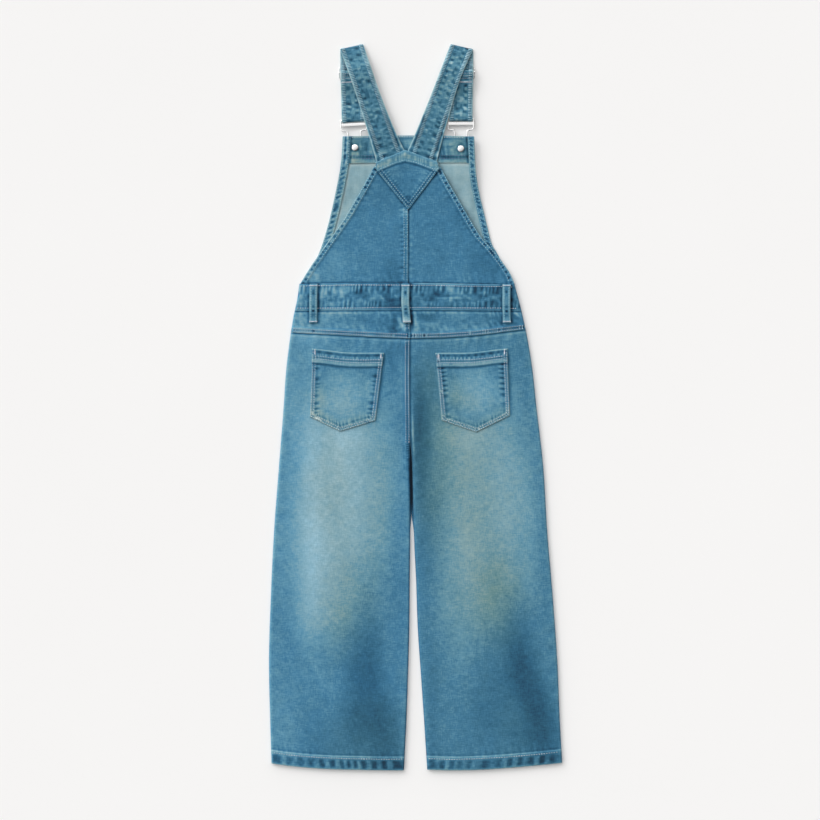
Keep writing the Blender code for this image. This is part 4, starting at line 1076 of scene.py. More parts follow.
def waistband_look(x, y):
    cloth = Look(100, x, y)
    low, high = y - WAIST_BOTTOM(x), WAIST_TOP(x) - y
    inside = hump(low, (low + high) / 2, 19)
    from_top, from_low = high - WAIST_STITCH_TOP, low - WAIST_STITCH_LOW
    strength = 0.9 + 0.6 * noise(101, x / 13)
    from_above = np.tanh(2.0 * puckers(x, from_top, 7.6, 102, 14, 0.1))
    from_below = np.tanh(2.0 * puckers(x, from_low, 7.2, 104, 12, -0.1))
    blotch = noise(106, x / 7, y / 5) + 0.8 * noise(107, x / 3.5, y / 4)
    to_right = fade(x, -14, 4)
    cloth.patches(WAIST_MARKS)
    cloth.add(inside, lift=0.3)
    cloth.add(from_above * strength, wear_and_shade=0.55, lift=0.3)
    cloth.add(from_below * (1.7 - strength), wear_and_shade=0.42, lift=0.3)
    cloth.add(blotch * inside, wear_and_shade=0.55, lift=0.25)
    cloth.lines(from_top, (2.0, 1.1, -0.3))
    cloth.lines(from_low, (2.0, 1.1, -0.3))
    cloth.lines(low, (1.0, 1.3, 0.35))
    # a painted highlight along the top edge on the right half, and a darker line there on the left half
    cloth.lines(high, (0.3, 1.2, 0.9), where=to_right - 0.45)
    # painted shade: the right part darker and greyer
    cloth.add(to_right + fade(x, 60, 110), wear_and_shade=-0.10, grey_and_shade=0.15)
    cloth.add(fade(-x, 120, 165), wear_and_shade=0.30)
    # painted shadow on both sides of each belt loop, more on its right
    for _, middle_x, _ in LOOPS.values():
        cloth.lines(np.abs(x - middle_x), (LOOP_WIDTH / 2 + 1.0, 2.2, -0.8))
        cloth.lines(x - middle_x, (LOOP_WIDTH / 2 + 2.0, 2.4, -0.5))
    return cloth.values(WAISTBAND_TOP - 0.3)


def front_waistband_look(x, y):
    cloth = Look(110, x, y)
    return FRONT_WAIST_LEVEL + 0 * x, cloth.wear_and_shade, cloth.grey_and_shade


def make_waistbands():
    outline = Outline(TROUSERS["left"], TROUSERS["right"], WAIST_BOTTOM, WAIST_TOP, always, always)
    rows = [
        across_body(WAIST_TOP, -WAIST_STITCH_TOP, *WAIST_TOP_RUN),
        across_body(WAIST_BOTTOM, WAIST_STITCH_LOW, *WAIST_LOW_RUN),
    ]
    piece = cut_piece(
        "waistband_back", outline, waistband_look, step=1.1, thick=1.6
    )
    stitch(piece, rows, waistband_look, radius=BOLD_THREAD)
    piece = cut_piece(
        "waistband_front", outline, front_waistband_look, step=4.0, thick=2.4, front=True
    )
    stitch(piece, rows, front_waistband_look, front=True)


# ---- pockets and belt loops --------------------------------------------------------------------

POCKET_FADES = {
    "left": (
        (-100, 20, 36, 36, 0.54), (-118, -8, 40, 22, 0.2), (-70, 40, 22, 20, -0.1),
        (-70, 71, 12, 7, -0.22), (-140, 66, 10, 9, 0.3), (-64, 27, 9, 14, 0.22),
        (-137, 10, 12, 20, 0.34),
    ),
    "right": (
        (82, 24, 38, 36, 0.54), (100, 0, 34, 20, 0.14), (52, 48, 18, 14, -0.1), (90, 75, 20, 9, -0.3),
        (109, 46, 9, 9, -0.2),
    ),
}
POCKET_GREYS = {
    "left": (
        (-94, 18, 26, 26, -0.15), (-137, 10, 12, 26, 0.5),
    ),
    "right": (
        (48, 20, 16, 34, 0.6), (64, 8, 22, 16, 0.4), (92, 30, 20, 24, -0.25),
    ),
}
LOOP_FADES = ((-16, 121, 6, 7, 0.8), (-15, 146, 6, 10, 0.5), (-14, 160, 5, 6, 0.3))  # of the centre loop


class PocketPlan:
    """A pocket's five edges in plan, and the line that its columns bend on."""

    def __init__(self, pocket):
        self.pocket = pocket
        middle = (pocket.top_left[0] + pocket.top_right[0]) / 2
        top = across_line(pocket.top_left, pocket.top_right)
        self.left = up_line(pocket.low_left, pocket.top_left)
        self.right = up_line(pocket.low_right, pocket.top_right)
        self.low = across_line(pocket.low_left, pocket.point, pocket.low_right)
        self.high = lambda x: top(x) - POCKET_TOP_DIP * hump(x, middle, 50)
        self.bend = up_line(pocket.point, (middle, pocket.top_left[1]))

    def stitch_line(self, inset):
        """Down the left side, round the point and up the right side, at one inset."""
        _, _, low_left, point, low_right = self.pocket
        left_top, right_top = (self.high(corner[0]) - 2.5 for corner in self.pocket[:2])
        rise = inset / POCKET_SLOPE
        return [
            (self.left(left_top) + inset, left_top),
            (low_left[0] + inset, low_left[1] + rise * 0.6),
            (point[0], point[1] + rise),
            (low_right[0] - inset, low_right[1] + rise * 0.6),
            (self.right(right_top) - inset, right_top),
        ]


def pocket_look(which, plan, x, y):
    seed = 120 if which == "left" else 140
    cloth = Look(seed, x, y)
    left, right = x - plan.left(y), plan.right(y) - x
    low, high = (y - plan.low(x)) * POCKET_SLOPE, plan.high(x) - y
    nearest = np.minimum(np.minimum(left, right), low)
    below_hem = fade(high, POCKET_HEM, POCKET_HEM + 4)
    cloth.patches(POCKET_FADES[which])
    cloth.patches(POCKET_GREYS[which], "grey_and_shade")
    # greyer towards the right, partly painted shade from a light at the left
    cloth.add(0.6 + 0.4 * fade(x, -10, 30), wear_and_shade=0.03, grey_and_shade=0.25)
    cloth.seam(nearest, y + x, POCKET_STITCHES, seed, dots=1.2)
    cloth.lines(nearest, (3.1, 1.4, 0.5))
    cloth.lines(nearest, (8.0, 2.4, -0.22), where=below_hem)
    for off, near in ((left, 0.95), (right, 1.05)):
        ticks = puckers(y, off - 5.6, 7.6 * near, seed + 1, 10 * near, -0.1)
        cloth.add(np.minimum(ticks, 0.3) * below_hem, wear_and_shade=0.85, lift=0.3)
    cloth.add(hump(low, 4.0, 16), wear_and_shade=0.42, grey_and_shade=0.7)
    cloth.add(puckers(x, low - 5.0, 4.8, seed + 3, 9, 0.2) * below_hem, wear_and_shade=0.45, lift=0.25)

    cloth.add(near_edge(high, POCKET_HEM), wear_and_shade=0.2, lift=0.6)
    cloth.add(hump(high, 4.0, 3.4), wear_and_shade=-0.85, lift=-0.15)
    cloth.add(uneven(x, 9.0, seed + 5) * hump(high, 4.0, 3.6), wear_and_shade=0.4)
    cloth.add(uneven(x, 5.6, seed + 4) * hump(high, 7.8, 3.2), wear_and_shade=0.6, lift=0.12)
    cloth.lines(high, (11.8, 1.6, 0.4), where=uneven(x, 3.5, seed + 6))
    cloth.lines(high, (15.4, 2.0, 0.4), where=uneven(x, 3.6, seed + 9))
    cloth.lines(high, (0.4, 1.3, 0.6, 0.3), (11.8, 1.2, -0.5, 0.5), (16.6, 2.4, 0.38, 0.2))
    cloth.lines(high, (POCKET_HEM + 1.8, 1.7, -0.85, 0, -0.1))
    return cloth.values(back_leg_top(x, y) + GAP + WALL)


def make_pockets():
    for which, pocket in POCKETS.items():
        plan = PocketPlan(pocket)
        look = partial(pocket_look, which, plan)
        outline = Outline(plan.left, plan.right, plan.low, plan.high, middle=plan.bend)
        piece = cut_piece(
            f"pocket_back_{which}", outline, look, step=0.95, thick=1.5
        )
        start, end = pocket.top_left[0] + 3, pocket.top_right[0] - 3
        rows = [plan.stitch_line(inset) for inset in POCKET_STITCHES]
        rows += [across_body(plan.high, -offset, start, end) for offset in POCKET_HEM_STITCHES]
        stitch(piece, rows, look)
        tacks = ((start + 1, pocket.top_left[1] - 4.5, 90), (end - 1, pocket.top_right[1] - 4.5, 90))
        bar_tack(piece, tacks, look, 3.0, 0.75)


def belt_loop_look(which, seed, centre, x, y):
    foot = YOKE_TOP + (LAP_RISE if which == "centre" else 0)
    on_band = fade(y, LOOP_LOW + 6, LOOP_LOW + 15)
    off = np.abs(x - centre(y))
    cloth = Look(seed, x, y)
    cloth.add(1, wear_and_shade=0.20, grey_and_shade=0.30)
    cloth.add(hump(y, LOOP_LOW + 32, 24), lift=1.2)
    cloth.add(hump(off, 0, LOOP_WIDTH / 2), lift=0.3)
    cloth.lines(off, (LOOP_WIDTH / 2 - 1.2, 1.2, 0.40))
    cloth.lines(y, (LOOP_LOW + 9, 3.0, -0.2, 0, -0.15))
    groove = line(off, 0, 1.8) * (hump(y, LOOP_LOW + 43, 8) + hump(y, LOOP_LOW + 18, 10))
    cloth.add(groove * (0.9 + uneven(y, 6.0, seed)), wear_and_shade=-1.2, lift=-0.1)
    if which == "centre":
        cloth.patches(LOOP_FADES)
    return cloth.values(foot + on_band * (WAISTBAND_TOP - foot) + GAP + LOOP_WALL)


def make_belt_loops():
    levels = (LOOP_HIGH, (LOOP_LOW + LOOP_HIGH) / 2, LOOP_LOW)
    for number, (which, middles) in enumerate(LOOPS.items()):
        centre = side(list(zip(levels, middles)))
        look = partial(belt_loop_look, which, 160 + 10 * number, centre)
        edges = [shifted(centre, offset) for offset in (-LOOP_WIDTH / 2, LOOP_WIDTH / 2)]
        piece = cut_piece(
            f"belt_loop_{which}", Outline(*edges, constant(LOOP_LOW), constant(LOOP_HIGH)), look,
            step=0.9, thick=LOOP_WALL, under=3.0, strip=LOOP_WIDTH,
        )
        sides = (-LOOP_STITCH, LOOP_STITCH)
        rows = [up_body(centre, offset, LOOP_LOW + 1, LOOP_HIGH - 1) for offset in sides]
        stitch(piece, rows, look, LADDER_THREAD)
        tacks = [(float(centre(y)), y, 0) for y in (LOOP_LOW + 2.2, LOOP_HIGH - 2.2)]
        bar_tack(piece, tacks, look, LOOP_WIDTH / 2 - 0.6, 0.7)


# ---- bib -------------------------------------------------------------------------------------

BIB_FADES = {
    "left": (
        (-125, 200, 40, 34, 0.26, -30), (-30, 190, 20, 16, -0.22), (-14, 273, 8, 8, 0.6),
        (-146, 184, 12, 10, 0.5),
    ),
    "right": ((70, 182, 40, 14, 0.06), (100, 200, 26, 34, -0.3, 30), (66, 262, 12, 30, -0.2, 35)),
}
KEYSTONE_FADES = (
    (-42, 334, 16, 13, 0.28), (-10, 312, 30, 22, -0.1), (-10, 292, 4, 5, -0.6),
    (8, 320, 7, 8, 0.22, -40), (17, 326, 12, 8, 0.25), (3, 307, 10, 8, 0.16), (-15, 353, 3, 3.2, 0.7),
)
FACING_FADES = (
    (-91, 352, 9, 9, 0.55), (-71, 360, 9, 14, -0.55), (45, 349, 8, 3, -0.6), (38, 368, 10, 14, -0.4),
)
FACING_GREYS = ((-84, 360, 16, 24, 0.4), (62, 360, 18, 24, 0.6))
RIGHT_BAND_FADES = ((107, 211, 20, 25, -0.28), (81, 270, 9, 14, -0.2), (81, 337, 8, 12, 0.3))
RIGHT_BAND_GREYS = ((82, 345, 16, 44, 0.6),)


def back_bib_look(which, x, y):
    left = which == "left"
    seed = 200 if left else 220
    cloth = Look(seed, x, y)
    edge, low, over = inward(BIB, which, x, y), y - WAIST_TOP(x), y - KEYSTONE_EDGE(x)
    clear_of_keystone = 1 - fade(over, -20, -2)
    cloth.patches(BIB_FADES[which])
    cloth.add(1, wear_and_shade=-0.06, grey_and_shade=-0.05)
    cloth.add(near_edge(edge, EDGE_BAND) * clear_of_keystone, lift=EDGE_RISE)
    # a pale worn edge and a pale line by the inner stitching, then a painted shadow line inside it
    cloth.lines(edge, (0.3, 1.3, 0.7, 0.3), (8.0, 1.2, 0.42), (10.4, 1.6, -0.3))
    spots = np.minimum(np.tanh(2.2 * uneven(y + 0.4 * edge, 6.5, seed + 1)), 0.5) - 0.1
    cloth.add(spots * hump(edge, 4.3, 3.6), wear_and_shade=1.15, lift=0.25)
    cloth.add(puckers(y, edge - 9.5, 9.0, seed + 2, 13, 0.4), wear_and_shade=0.2, lift=0.2)
    cloth.add(puckers(x, low, 11.0, seed + 3, 20, 0.3), wear_and_shade=0.14, lift=0.2)
    cloth.add(fade(-low, 0, 2), lift=-0.3)
    # painted shadow along the waistband's top edge and just outside the keystone's edges
    cloth.lines(low, (0.2, 1.6, -0.9))
    cloth.lines(over, (-1.6, 2.0, -0.8))
    if left:
        centre = CENTRE_SEAM_X - x
        cloth.add(near_edge(centre, LAP + 2) * clear_of_keystone, lift=LAP_RISE)
        cloth.seam(centre, y, BIB_CENTRE_STITCHES, seed + 4, dots=0.4)
        cloth.lines(centre, (3.4, 2.0, 0.55))
        ticks = puckers(y, centre - 6.4, 7.6, seed + 5, 8)
        cloth.add(np.minimum(ticks, 0.4), wear_and_shade=0.5, lift=0.15)
        cloth.add(hump(edge, 4.3, 7) * hump(y, 262, 46), wear_and_shade=0.60, grey_and_shade=0.3)
    else:
        centre = x - CENTRE_SEAM_X
        # painted shadow beside the left bib's lapped edge
        cloth.lines(centre, (0.4, 1.4, -1.2), (3.4, 1.4, 0.2))
        cloth.add(puckers(y, centre - 1, 8.0, seed + 5, 9), wear_and_shade=0.2, lift=0.12)
        cloth.add(fade(-centre, 0, 1), lift=-TUCK_DROP)
    return cloth.values(back_bib_top(x, y))


def make_back_bib():
    seam, high = constant(CENTRE_SEAM_X), across_line(*BACK_BIB_TOP)
    outlines = {
        "left": Outline(BIB["left"], seam, BIB_LOW, high),
        "right": Outline(shifted(seam, -TUCK), BIB["right"], BIB_LOW, high),
    }
    for which, outline in outlines.items():
        look = partial(back_bib_look, which)
        piece = cut_piece(f"bib_back_{which}", outline, look, step=1.4, thick=1.6)
        sign = 1 if which == "left" else -1
        rows = [up_body(BIB[which], sign * offset, *BIB_RUN) for offset in BIB_STITCHES]
        if which == "left":
            rows += [up_body(seam, -offset, *BIB_CENTRE_RUN) for offset in BIB_CENTRE_STITCHES]
        stitch(piece, rows, look, LADDER_THREAD)


def keystone_hem_depth(x):
    """The hem is deepest in the middle, so that its lower edge is a rounded arch."""
    return KEYSTONE_HEM + 2.0 * hump(x, KEYSTONE_APEX[0], 16)


def keystone_hem_edge(x):
    return KEYSTONE_TOP(x) - keystone_hem_depth(x)


def keystone_look(x, y):
    cloth = Look(240, x, y)
    low, high = (y - KEYSTONE_EDGE(x)) * KEYSTONE_SLOPE, KEYSTONE_TOP(x) - y
    along = y + np.abs(x - KEYSTONE_POINT[0])
    hem = keystone_hem_depth(x)
    in_hem, above_point = hump(high, hem / 2, hem / 2 + 1), fade(high, hem, hem + 4)
    ticks = np.tanh(1.5 * uneven(x, 5.4, 242)) * (0.6 + 0.5 * noise(245, x / 9, y / 5))
    cloth.patches(KEYSTONE_FADES)
    cloth.add(near_edge(high, hem), lift=0.5)
    cloth.add(in_hem, wear_and_shade=0.42, grey_and_shade=0.8)
    cloth.add(ticks * in_hem, wear_and_shade=0.4, lift=0.15)
    cloth.add(noise(246, x / 4, y / 3) * in_hem, wear_and_shade=0.28)
    cloth.lines(high, (0.4, 1.2, 0.4), (hem - 1.0, 1.2, 0.4), (hem + 1.8, 1.6, -0.75, 0, -0.1))
    cloth.seam(low, along, KEYSTONE_STITCHES, 243, above_point, dots=0.3)
    cloth.add(puckers(along, low - 7, 6.4, 244, 8, 0.3) * above_point, wear_and_shade=0.3, lift=0.12)
    cloth.add(noise(247, x / 5, y / 6) * above_point, wear_and_shade=0.16)
    cloth.add(hump(x, KEYSTONE_APEX[0], 6) * hump(y, 353, 7), lift=0.6)
    over_straps = 0.8 * (1 - fade(high, 18, 30))
    return cloth.values(back_bib_top(x, y) + over_straps + GAP + WALL)


def make_keystone():
    outline = Outline(
        up_line(*KEYSTONE_LEFT), up_line(*KEYSTONE_RIGHT), KEYSTONE_EDGE, KEYSTONE_TOP,
        middle=up_line(KEYSTONE_POINT, KEYSTONE_APEX),
    )
    piece = cut_piece(
        "bib_keystone", outline, keystone_look,
        step=0.9, thick=1.6, under=2.0,
    )
    corners = np.array((KEYSTONE_LEFT[0], KEYSTONE_POINT, KEYSTONE_RIGHT[0]))
    rows = [corners + (0, inset / KEYSTONE_SLOPE) for inset in KEYSTONE_STITCHES]
    for run in KEYSTONE_HEM_RUNS:
        rows.append(across_body(keystone_hem_edge, KEYSTONE_HEM_STITCH, *run))
    stitch(piece, rows, keystone_look, LADDER_THREAD)


def front_bib_look(x, y):
    """The inner side of the front bib, with painted shadow beside the back bib's edges, and painted
    highlights below the facing and beside the left band, which lighten the shade of their raised edges.
    """
    cloth = Look(260, x, y)
    # painted shadow beside both edges of the back bib
    cloth.lines(x - BIB["right"](y), (0, 7, -0.45), (0, 3, -0.3))
    cloth.lines(BIB["left"](y) - x, (0, 3.5, -0.1))
    # painted highlights below the facing and beside the left band's inner edge, lightening the shade that
    # their raised edges cast
    cloth.lines(y - FACING_EDGE(x), (-1.2, 2.4, 0.9))
    cloth.lines(inward(FRONT_BIB, "left", x, y) - BAND_WIDTHS["left"], (0.8, 2.2, 1.0))
    cloth.add(noise(261, x / 5, y / 30) + noise(262, x / 9, y / 8), wear_and_shade=0.22)
    cloth.add(noise(263, x / 16, y / 24), wear_and_shade=0.25, lift=0.2)
    cloth.add(1 - fade(x, -20, 0), wear_and_shade=0.12)
    return cloth.values(bib_lift(x, y) + WALL)


def band_look(which, x, y):
    left, width = which == "left", BAND_WIDTHS[which]
    seed, pitch = (280, 8.3) if left else (290, 6.6)
    cloth = Look(seed, x, y)
    edge, middle = inward(FRONT_BIB, which, x, y), width / 2
    inside = hump(edge, middle, middle - 0.4)
    spots = np.minimum(np.tanh(2.2 * uneven(y - 0.3 * edge, pitch, seed + 1)), 0.5) - 0.15
    checks = np.sin(2 * math.pi * y / pitch) * np.tanh(edge - middle)
    cloth.add(inside * spots, wear_and_shade=0.85, lift=0.25)
    cloth.add(checks * inside, wear_and_shade=0.42)
    cloth.lines(edge, (0.3, 1.2, 0.6, 0.3), (width - 0.6, 1.2, 0.45, 0.2))
    if left:
        cloth.add(1, wear_and_shade=0.26, grey_and_shade=0.2)
        cloth.lines(edge, (width - 2.4, 2.0, 0.3, 0.6))
        near_top = fade(y, 330, 345)
        # near the top, the dark line at 10 mm in is painted shadow of the band's raised inner edge
        cloth.lines(edge, (10.0, 1.3, -1.1), (4.6, 1.0, -0.7), where=near_top)
        cloth.lines(edge, (2.4, 1.0, 0.7, 0, 0.2), (7.2, 1.3, 0.7, 0, 0.2), where=near_top)
    else:
        cloth.patches(RIGHT_BAND_FADES)
        cloth.patches(RIGHT_BAND_GREYS, "grey_and_shade")
    return cloth.values(bib_lift(x, y) + 2 * WALL + GAP)


def facing_look(x, y):
    cloth = Look(300, x, y)
    low, high = y - FACING_EDGE(x), FRONT_TOP(x) - y
    cloth.patches(FACING_FADES)
    cloth.patches(FACING_GREYS, "grey_and_shade")
    cloth.add(1, wear_and_shade=0.26, grey_and_shade=0.60)
    cloth.add(1 - fade(x, -95, -60), wear_and_shade=0.12, grey_and_shade=0.5)
    cloth.add(1 - fade(low, 0.2, 1.6), wear_and_shade=0.1)
    cloth.lines(low, (0.4, 1.2, 0.4), (3.0, 3.2, 0.22), (8.6, 2.2, -0.8))
    cloth.lines(high, (0.4, 1.3, 0.5), (4.2, 1.4, -0.35))
    # painted shadow in the V between the straps
    cloth.lines(x, (-18, 7, -0.9), (-7, 5, 0.2), where=hump(y, 363, 18))
    cloth.lines(low, (8.6, 3.0, 0.4), where=uneven(x, 4.4, 301))
    cloth.add(puckers(x, low - 10, 9.0, 302, 20, 0.2), wear_and_shade=0.3, lift=0.2)
    cloth.add(noise(303, x / 7, y / 4) * hump(low, 22, 18), wear_and_shade=0.65, lift=0.15)
    cloth.add(noise(304, x / 3, y / 14) * hump(low, 22, 18), wear_and_shade=0.3)
    # painted shadow beside the inner edges of both bands
    for which, width in BAND_WIDTHS.items():
        cloth.lines(inward(FRONT_BIB, which, x, y) - width, (0.8, 1.8, -1.3))
    for x_cap, y_cap in BUTTONS.values():
        cloth.lines(np.hypot(x - x_cap, y - y_cap), (CAP_RADIUS + 1.0, 1.4, -0.5, 0, -0.2))
    return cloth.values(bib_lift(x, y) + 2 * WALL + GAP / 2)


OUTER_SHARE = 0.3  # how much of the inner side's fading and painted shade the front bib's outer side has


def make_two_sided_bib():
    """The front bib's one thick shell: its pale inner side above and the denim below."""
    outline = Outline(FRONT_BIB["left"], FRONT_BIB["right"], BIB_LOW, FRONT_TOP)
    x, y, turned, _ = lattice(outline, 2.4, WALL, UNDER)
    grids = (x, y, turned, *front_bib_look(x, y))
    x, y, turned, height, wear_and_shade, grey_and_shade = (grid[1:-1, 1:-1] for grid in grids)
    turned = np.minimum(turned, WALL / 2)
    levels = (height - turned, np.maximum(height - WALL + turned, FRONT_BIB_LEAST))
    points = np.vstack([np.stack((x, y, level), axis=-1).reshape(-1, 3) for level in levels])
    faces, count = grid_faces(*x.shape), x.size
    index = np.arange(count).reshape(x.shape)
    ring = np.r_[index[0], index[1:, -1], index[-1, -2::-1], index[-2:0:-1, 0]]
    after = np.roll(ring, -1)
    border = np.stack((after, ring, ring + count, after + count), axis=-1)
    quads = np.vstack((faces, faces[:, ::-1] + count, border))
    wears_and_shades, greys_and_shades = (np.r_[grid.ravel(), grid.ravel() * OUTER_SHARE] for grid in (wear_and_shade, grey_and_shade))
    piece = mesh_object("bib_front_cloth", points, quads, [WRONG_SIDE, DENIM], wears_and_shades, greys_and_shades)
    piece.data.polygons.foreach_set("material_index", (np.arange(len(quads)) >= len(faces)).astype(int))
    joins(piece, "bib_front")
    size = (np.ptp(x) * MILLIMETRE, np.ptp(y) * MILLIMETRE)
    plan_area(x, y) * MILLIMETRE**2


def make_bands():
    for which, width in BAND_WIDTHS.items():
        look = partial(band_look, which)
        sign = 1 if which == "left" else -1
        left, right = (FRONT_BIB[which], shifted(FRONT_BIB[which], sign * width))[::sign]
        piece = cut_piece(
            f"bib_band_{which}", Outline(left, right, BIB_LOW, FRONT_TOP), look,
            step=1.0, under=3.0, strip=width,
        )
        edges = ((left, BAND_STITCH), (right, -BAND_STITCH))
        stitch(piece, [up_body(edge, offset, *BAND_RUN) for edge, offset in edges], look, LADDER_THREAD)


def make_facing():
    lap = 1.5
    left = shifted(FRONT_BIB["left"], BAND_WIDTHS["left"] - lap)
    right = shifted(FRONT_BIB["right"], lap - BAND_WIDTHS["right"])
    piece = cut_piece(
        "bib_facing", Outline(left, right, FACING_EDGE, FRONT_TOP), facing_look,
        step=1.2, under=3.0,
    )
    stitch(piece, [across_body(FRONT_TOP, -FACING_TOP_STITCH, *FACING_TOP_RUN)], facing_look)
    rows = [across_body(FACING_EDGE, offset, *FACING_RUN) for offset in FACING_STITCHES]
    stitch(piece, rows, facing_look, DUSKY_THREAD, "dusky_stitches")


# ---- straps ----------------------------------------------------------------------------------
# A rung is one cross line of a strap: its left and right ends, each x, y, z.

# How many rungs the parts of a strap have
BACK_RUNGS, DOWN_RUNGS, UP_RUNGS, TAIL_RUNGS = 150, 84, 60, 8
FOLD_RUNGS, BAR_RUNGS = 13, 11
DOWN_START = 5  # the first of them below the fold


def level_rung(left, right, height):
    return np.array(((*left, height), (*right, height)))


def turned_by(vector, degrees):
    angle = math.radians(degrees)
    x, y = vector
    return np.array((x * math.cos(angle) - y * math.sin(angle), x * math.sin(angle) + y * math.cos(angle)))


def on_buckle(which, across, along):
    """A point of a buckle, from its middle line and its slot's round end."""
    point = (across, along - NECK_IN_SLOT[which])
    return np.array(BUTTONS[which]) + turned_by(point, BUCKLE_TILT[which])


class FrontRun:
    """Where a strap runs down the front: distance below the fold, across it, and height."""

    def __init__(self, which):
        left, right = (np.array(edge[-1]) for edge in STRAPS[which])
        bar = on_buckle(which, 0, BUCKLE_BAR_AT)
        self.top = (left + right) / 2
        self.fold_direction = (right - left) / np.linalg.norm(right - left)
        self.bar_at = float(np.linalg.norm(bar - self.top))
        self.down = (bar - self.top) / self.bar_at
        self.across = turned_by((1, 0), BUCKLE_TILT[which])

    def point(self, distance, sideways=0.0):
        return self.top + self.down * distance + self.across * sideways

    def rung(self, distance, height):
        """One cross line of the strap, which turns from the fold's direction to the buckle's."""
        square = fade(distance, 0, 24)
        across = self.fold_direction * (1 - square) + self.across * square
        half = across * (STRAP_HALF / np.linalg.norm(across))
        return level_rung(self.point(distance) - half, self.point(distance) + half, height)

    def rungs_along(self, heights, distances):
        return [self.rung(distance, eased(heights, distance)) for distance in distances]

    def rungs_round(self, at, level, wire_radius, start, end):
        """Rungs round a bar at a distance below the fold, through angles in degrees."""
        radius = wire_radius + GAP + STRAP_WALL / 2
        angles = np.radians(np.linspace(start, end, BAR_RUNGS))
        return [self.rung(at + radius * math.cos(a), level + radius * math.sin(a)) for a in angles]


def by_length(edge):
    """An edge as (share of its length, x, y) rows."""
    steps = [math.dist(a, b) for a, b in zip(edge, edge[1:])]
    return [(sum(steps[:i]) / sum(steps), *point) for i, point in enumerate(edge)]


def back_part(strap, count):
    """Rungs from the keystone up to just short of the fold."""
    share, ends = np.arange(count) / count, []
    for edge in strap:
        rows = by_length(edge)
        x, y = smooth(rows, share, 1), smooth(rows, share, 2)
        on_bib = (STRAP_ON_BIB + bib_lift(x, y)) * (1 - fade(y, FRONT_TOP(x) + 5, 395))
        ends.append(np.stack((x, y, np.maximum(eased(STRAP_BACK_HEIGHTS, share), on_bib)), axis=1))
    return list(np.stack(ends, axis=1))


def fold_part(strap, run):
    """Rungs round the fold, from the back part's height down to the front part's."""
    outward = turned_by(run.fold_direction, 90)
    level = STRAP_DOWN_HEIGHTS[0][1] + FOLD_RADIUS
    rungs = []
    for angle in np.radians(np.linspace(90, -90, FOLD_RUNGS)):
        out = outward * (FOLD_RADIUS * (math.cos(angle) - 1) - STRAP_WALL / 2)
        height = level + FOLD_RADIUS * math.sin(angle)
        rungs.append(level_rung(strap.left_edge[-1] + out, strap.right_edge[-1] + out, height))
    return rungs


def strap_rungs(which):
    """The whole strap: up the back, over, down to the buckle, round its bar and up to the slider."""
    strap, run = STRAPS[which], FrontRun(which)
    bar = run.bar_at
    start, end, tail_height = STRAP_TAIL
    return np.array([
        *back_part(strap, BACK_RUNGS),
        *fold_part(strap, run),
        *run.rungs_along(STRAP_DOWN_HEIGHTS, np.linspace(DOWN_START, bar, DOWN_RUNGS)[:-1]),
        *run.rungs_round(bar, BUCKLE_LEVEL, BUCKLE_WIRE, -90, 90),
        *run.rungs_along(STRAP_UP_HEIGHTS, np.linspace(bar, SLIDER_AT, UP_RUNGS)[1:-1]),
        *run.rungs_round(SLIDER_AT, SLIDER_ARCH, SLIDER_WIRE, 90, 270),
        *(run.rung(distance, tail_height) for distance in np.linspace(start, end, TAIL_RUNGS)),
    ])


def strap_look(along, across, seed):
    """One face of a strap, by distance along it and across it from its middle."""
    cloth = Look(seed, across, along)
    edge = STRAP_HALF - np.abs(across)
    near_bib = 1 - fade(along, 40, 120)
    in_ladder = fade(edge, 1.4, 2.4) * (1 - fade(edge, 6.4, 8.2))
    cloth.add(1, wear_and_shade=0.10, grey_and_shade=0.85)
    cloth.add(1 - fade(along, 30, 80), wear_and_shade=-0.18, grey_and_shade=-0.1)
    cloth.add(hump(along, 164, 24), wear_and_shade=-0.35)
    # painted shadow in the fold just above the keystone, with a painted highlight on its ridge
    cloth.lines(along, (5.5, 2.4, -0.4), (10.5, 2.0, 0.3))
    cloth.lines(edge, (0.5, 1.1, 1.1, -0.3))
    cloth.add(in_ladder * (0.35 + 0.5 * near_bib) * fade(along, 8, 16), wear_and_shade=-0.9)
    for place, offset in ((-6.0, 1), (6.0, 3)):
        spots = np.tanh(1.6 * uneven(along + 0.15 * across, 9.4, seed + offset))
        cloth.add(np.minimum(spots, 0.5) * hump(across, place, 4.8), wear_and_shade=0.75, lift=0.35)
        cloth.add(hump(across, place, 3.8), wear_and_shade=-0.12)
    dark = fade(noise(seed + 6, along / 4.5, across / 3.5), 0.3, 0.8)
    pale = fade(noise(seed + 12, along / 3.0, across / 5.0), 0.35, 0.9)
    cloth.add(dark, wear_and_shade=-0.65, lift=-0.15)
    cloth.add(pale, wear_and_shade=0.7, grey_and_shade=-0.5, lift=0.12)
    cloth.add(noise(seed + 7, along / 6, across / 4), wear_and_shade=0.16)
    return cloth


ACROSS = 31  # points across one face of a strap
TICKS = (1.2, 7.0)  # the ladder stitch along both edges: from and to, in from the edge
TICK_PITCH = 4.1
TICK_RADIUS = 0.62
EDGE_TURN = np.radians((60, 0, -60))
EDGE_WEAR = 1.1


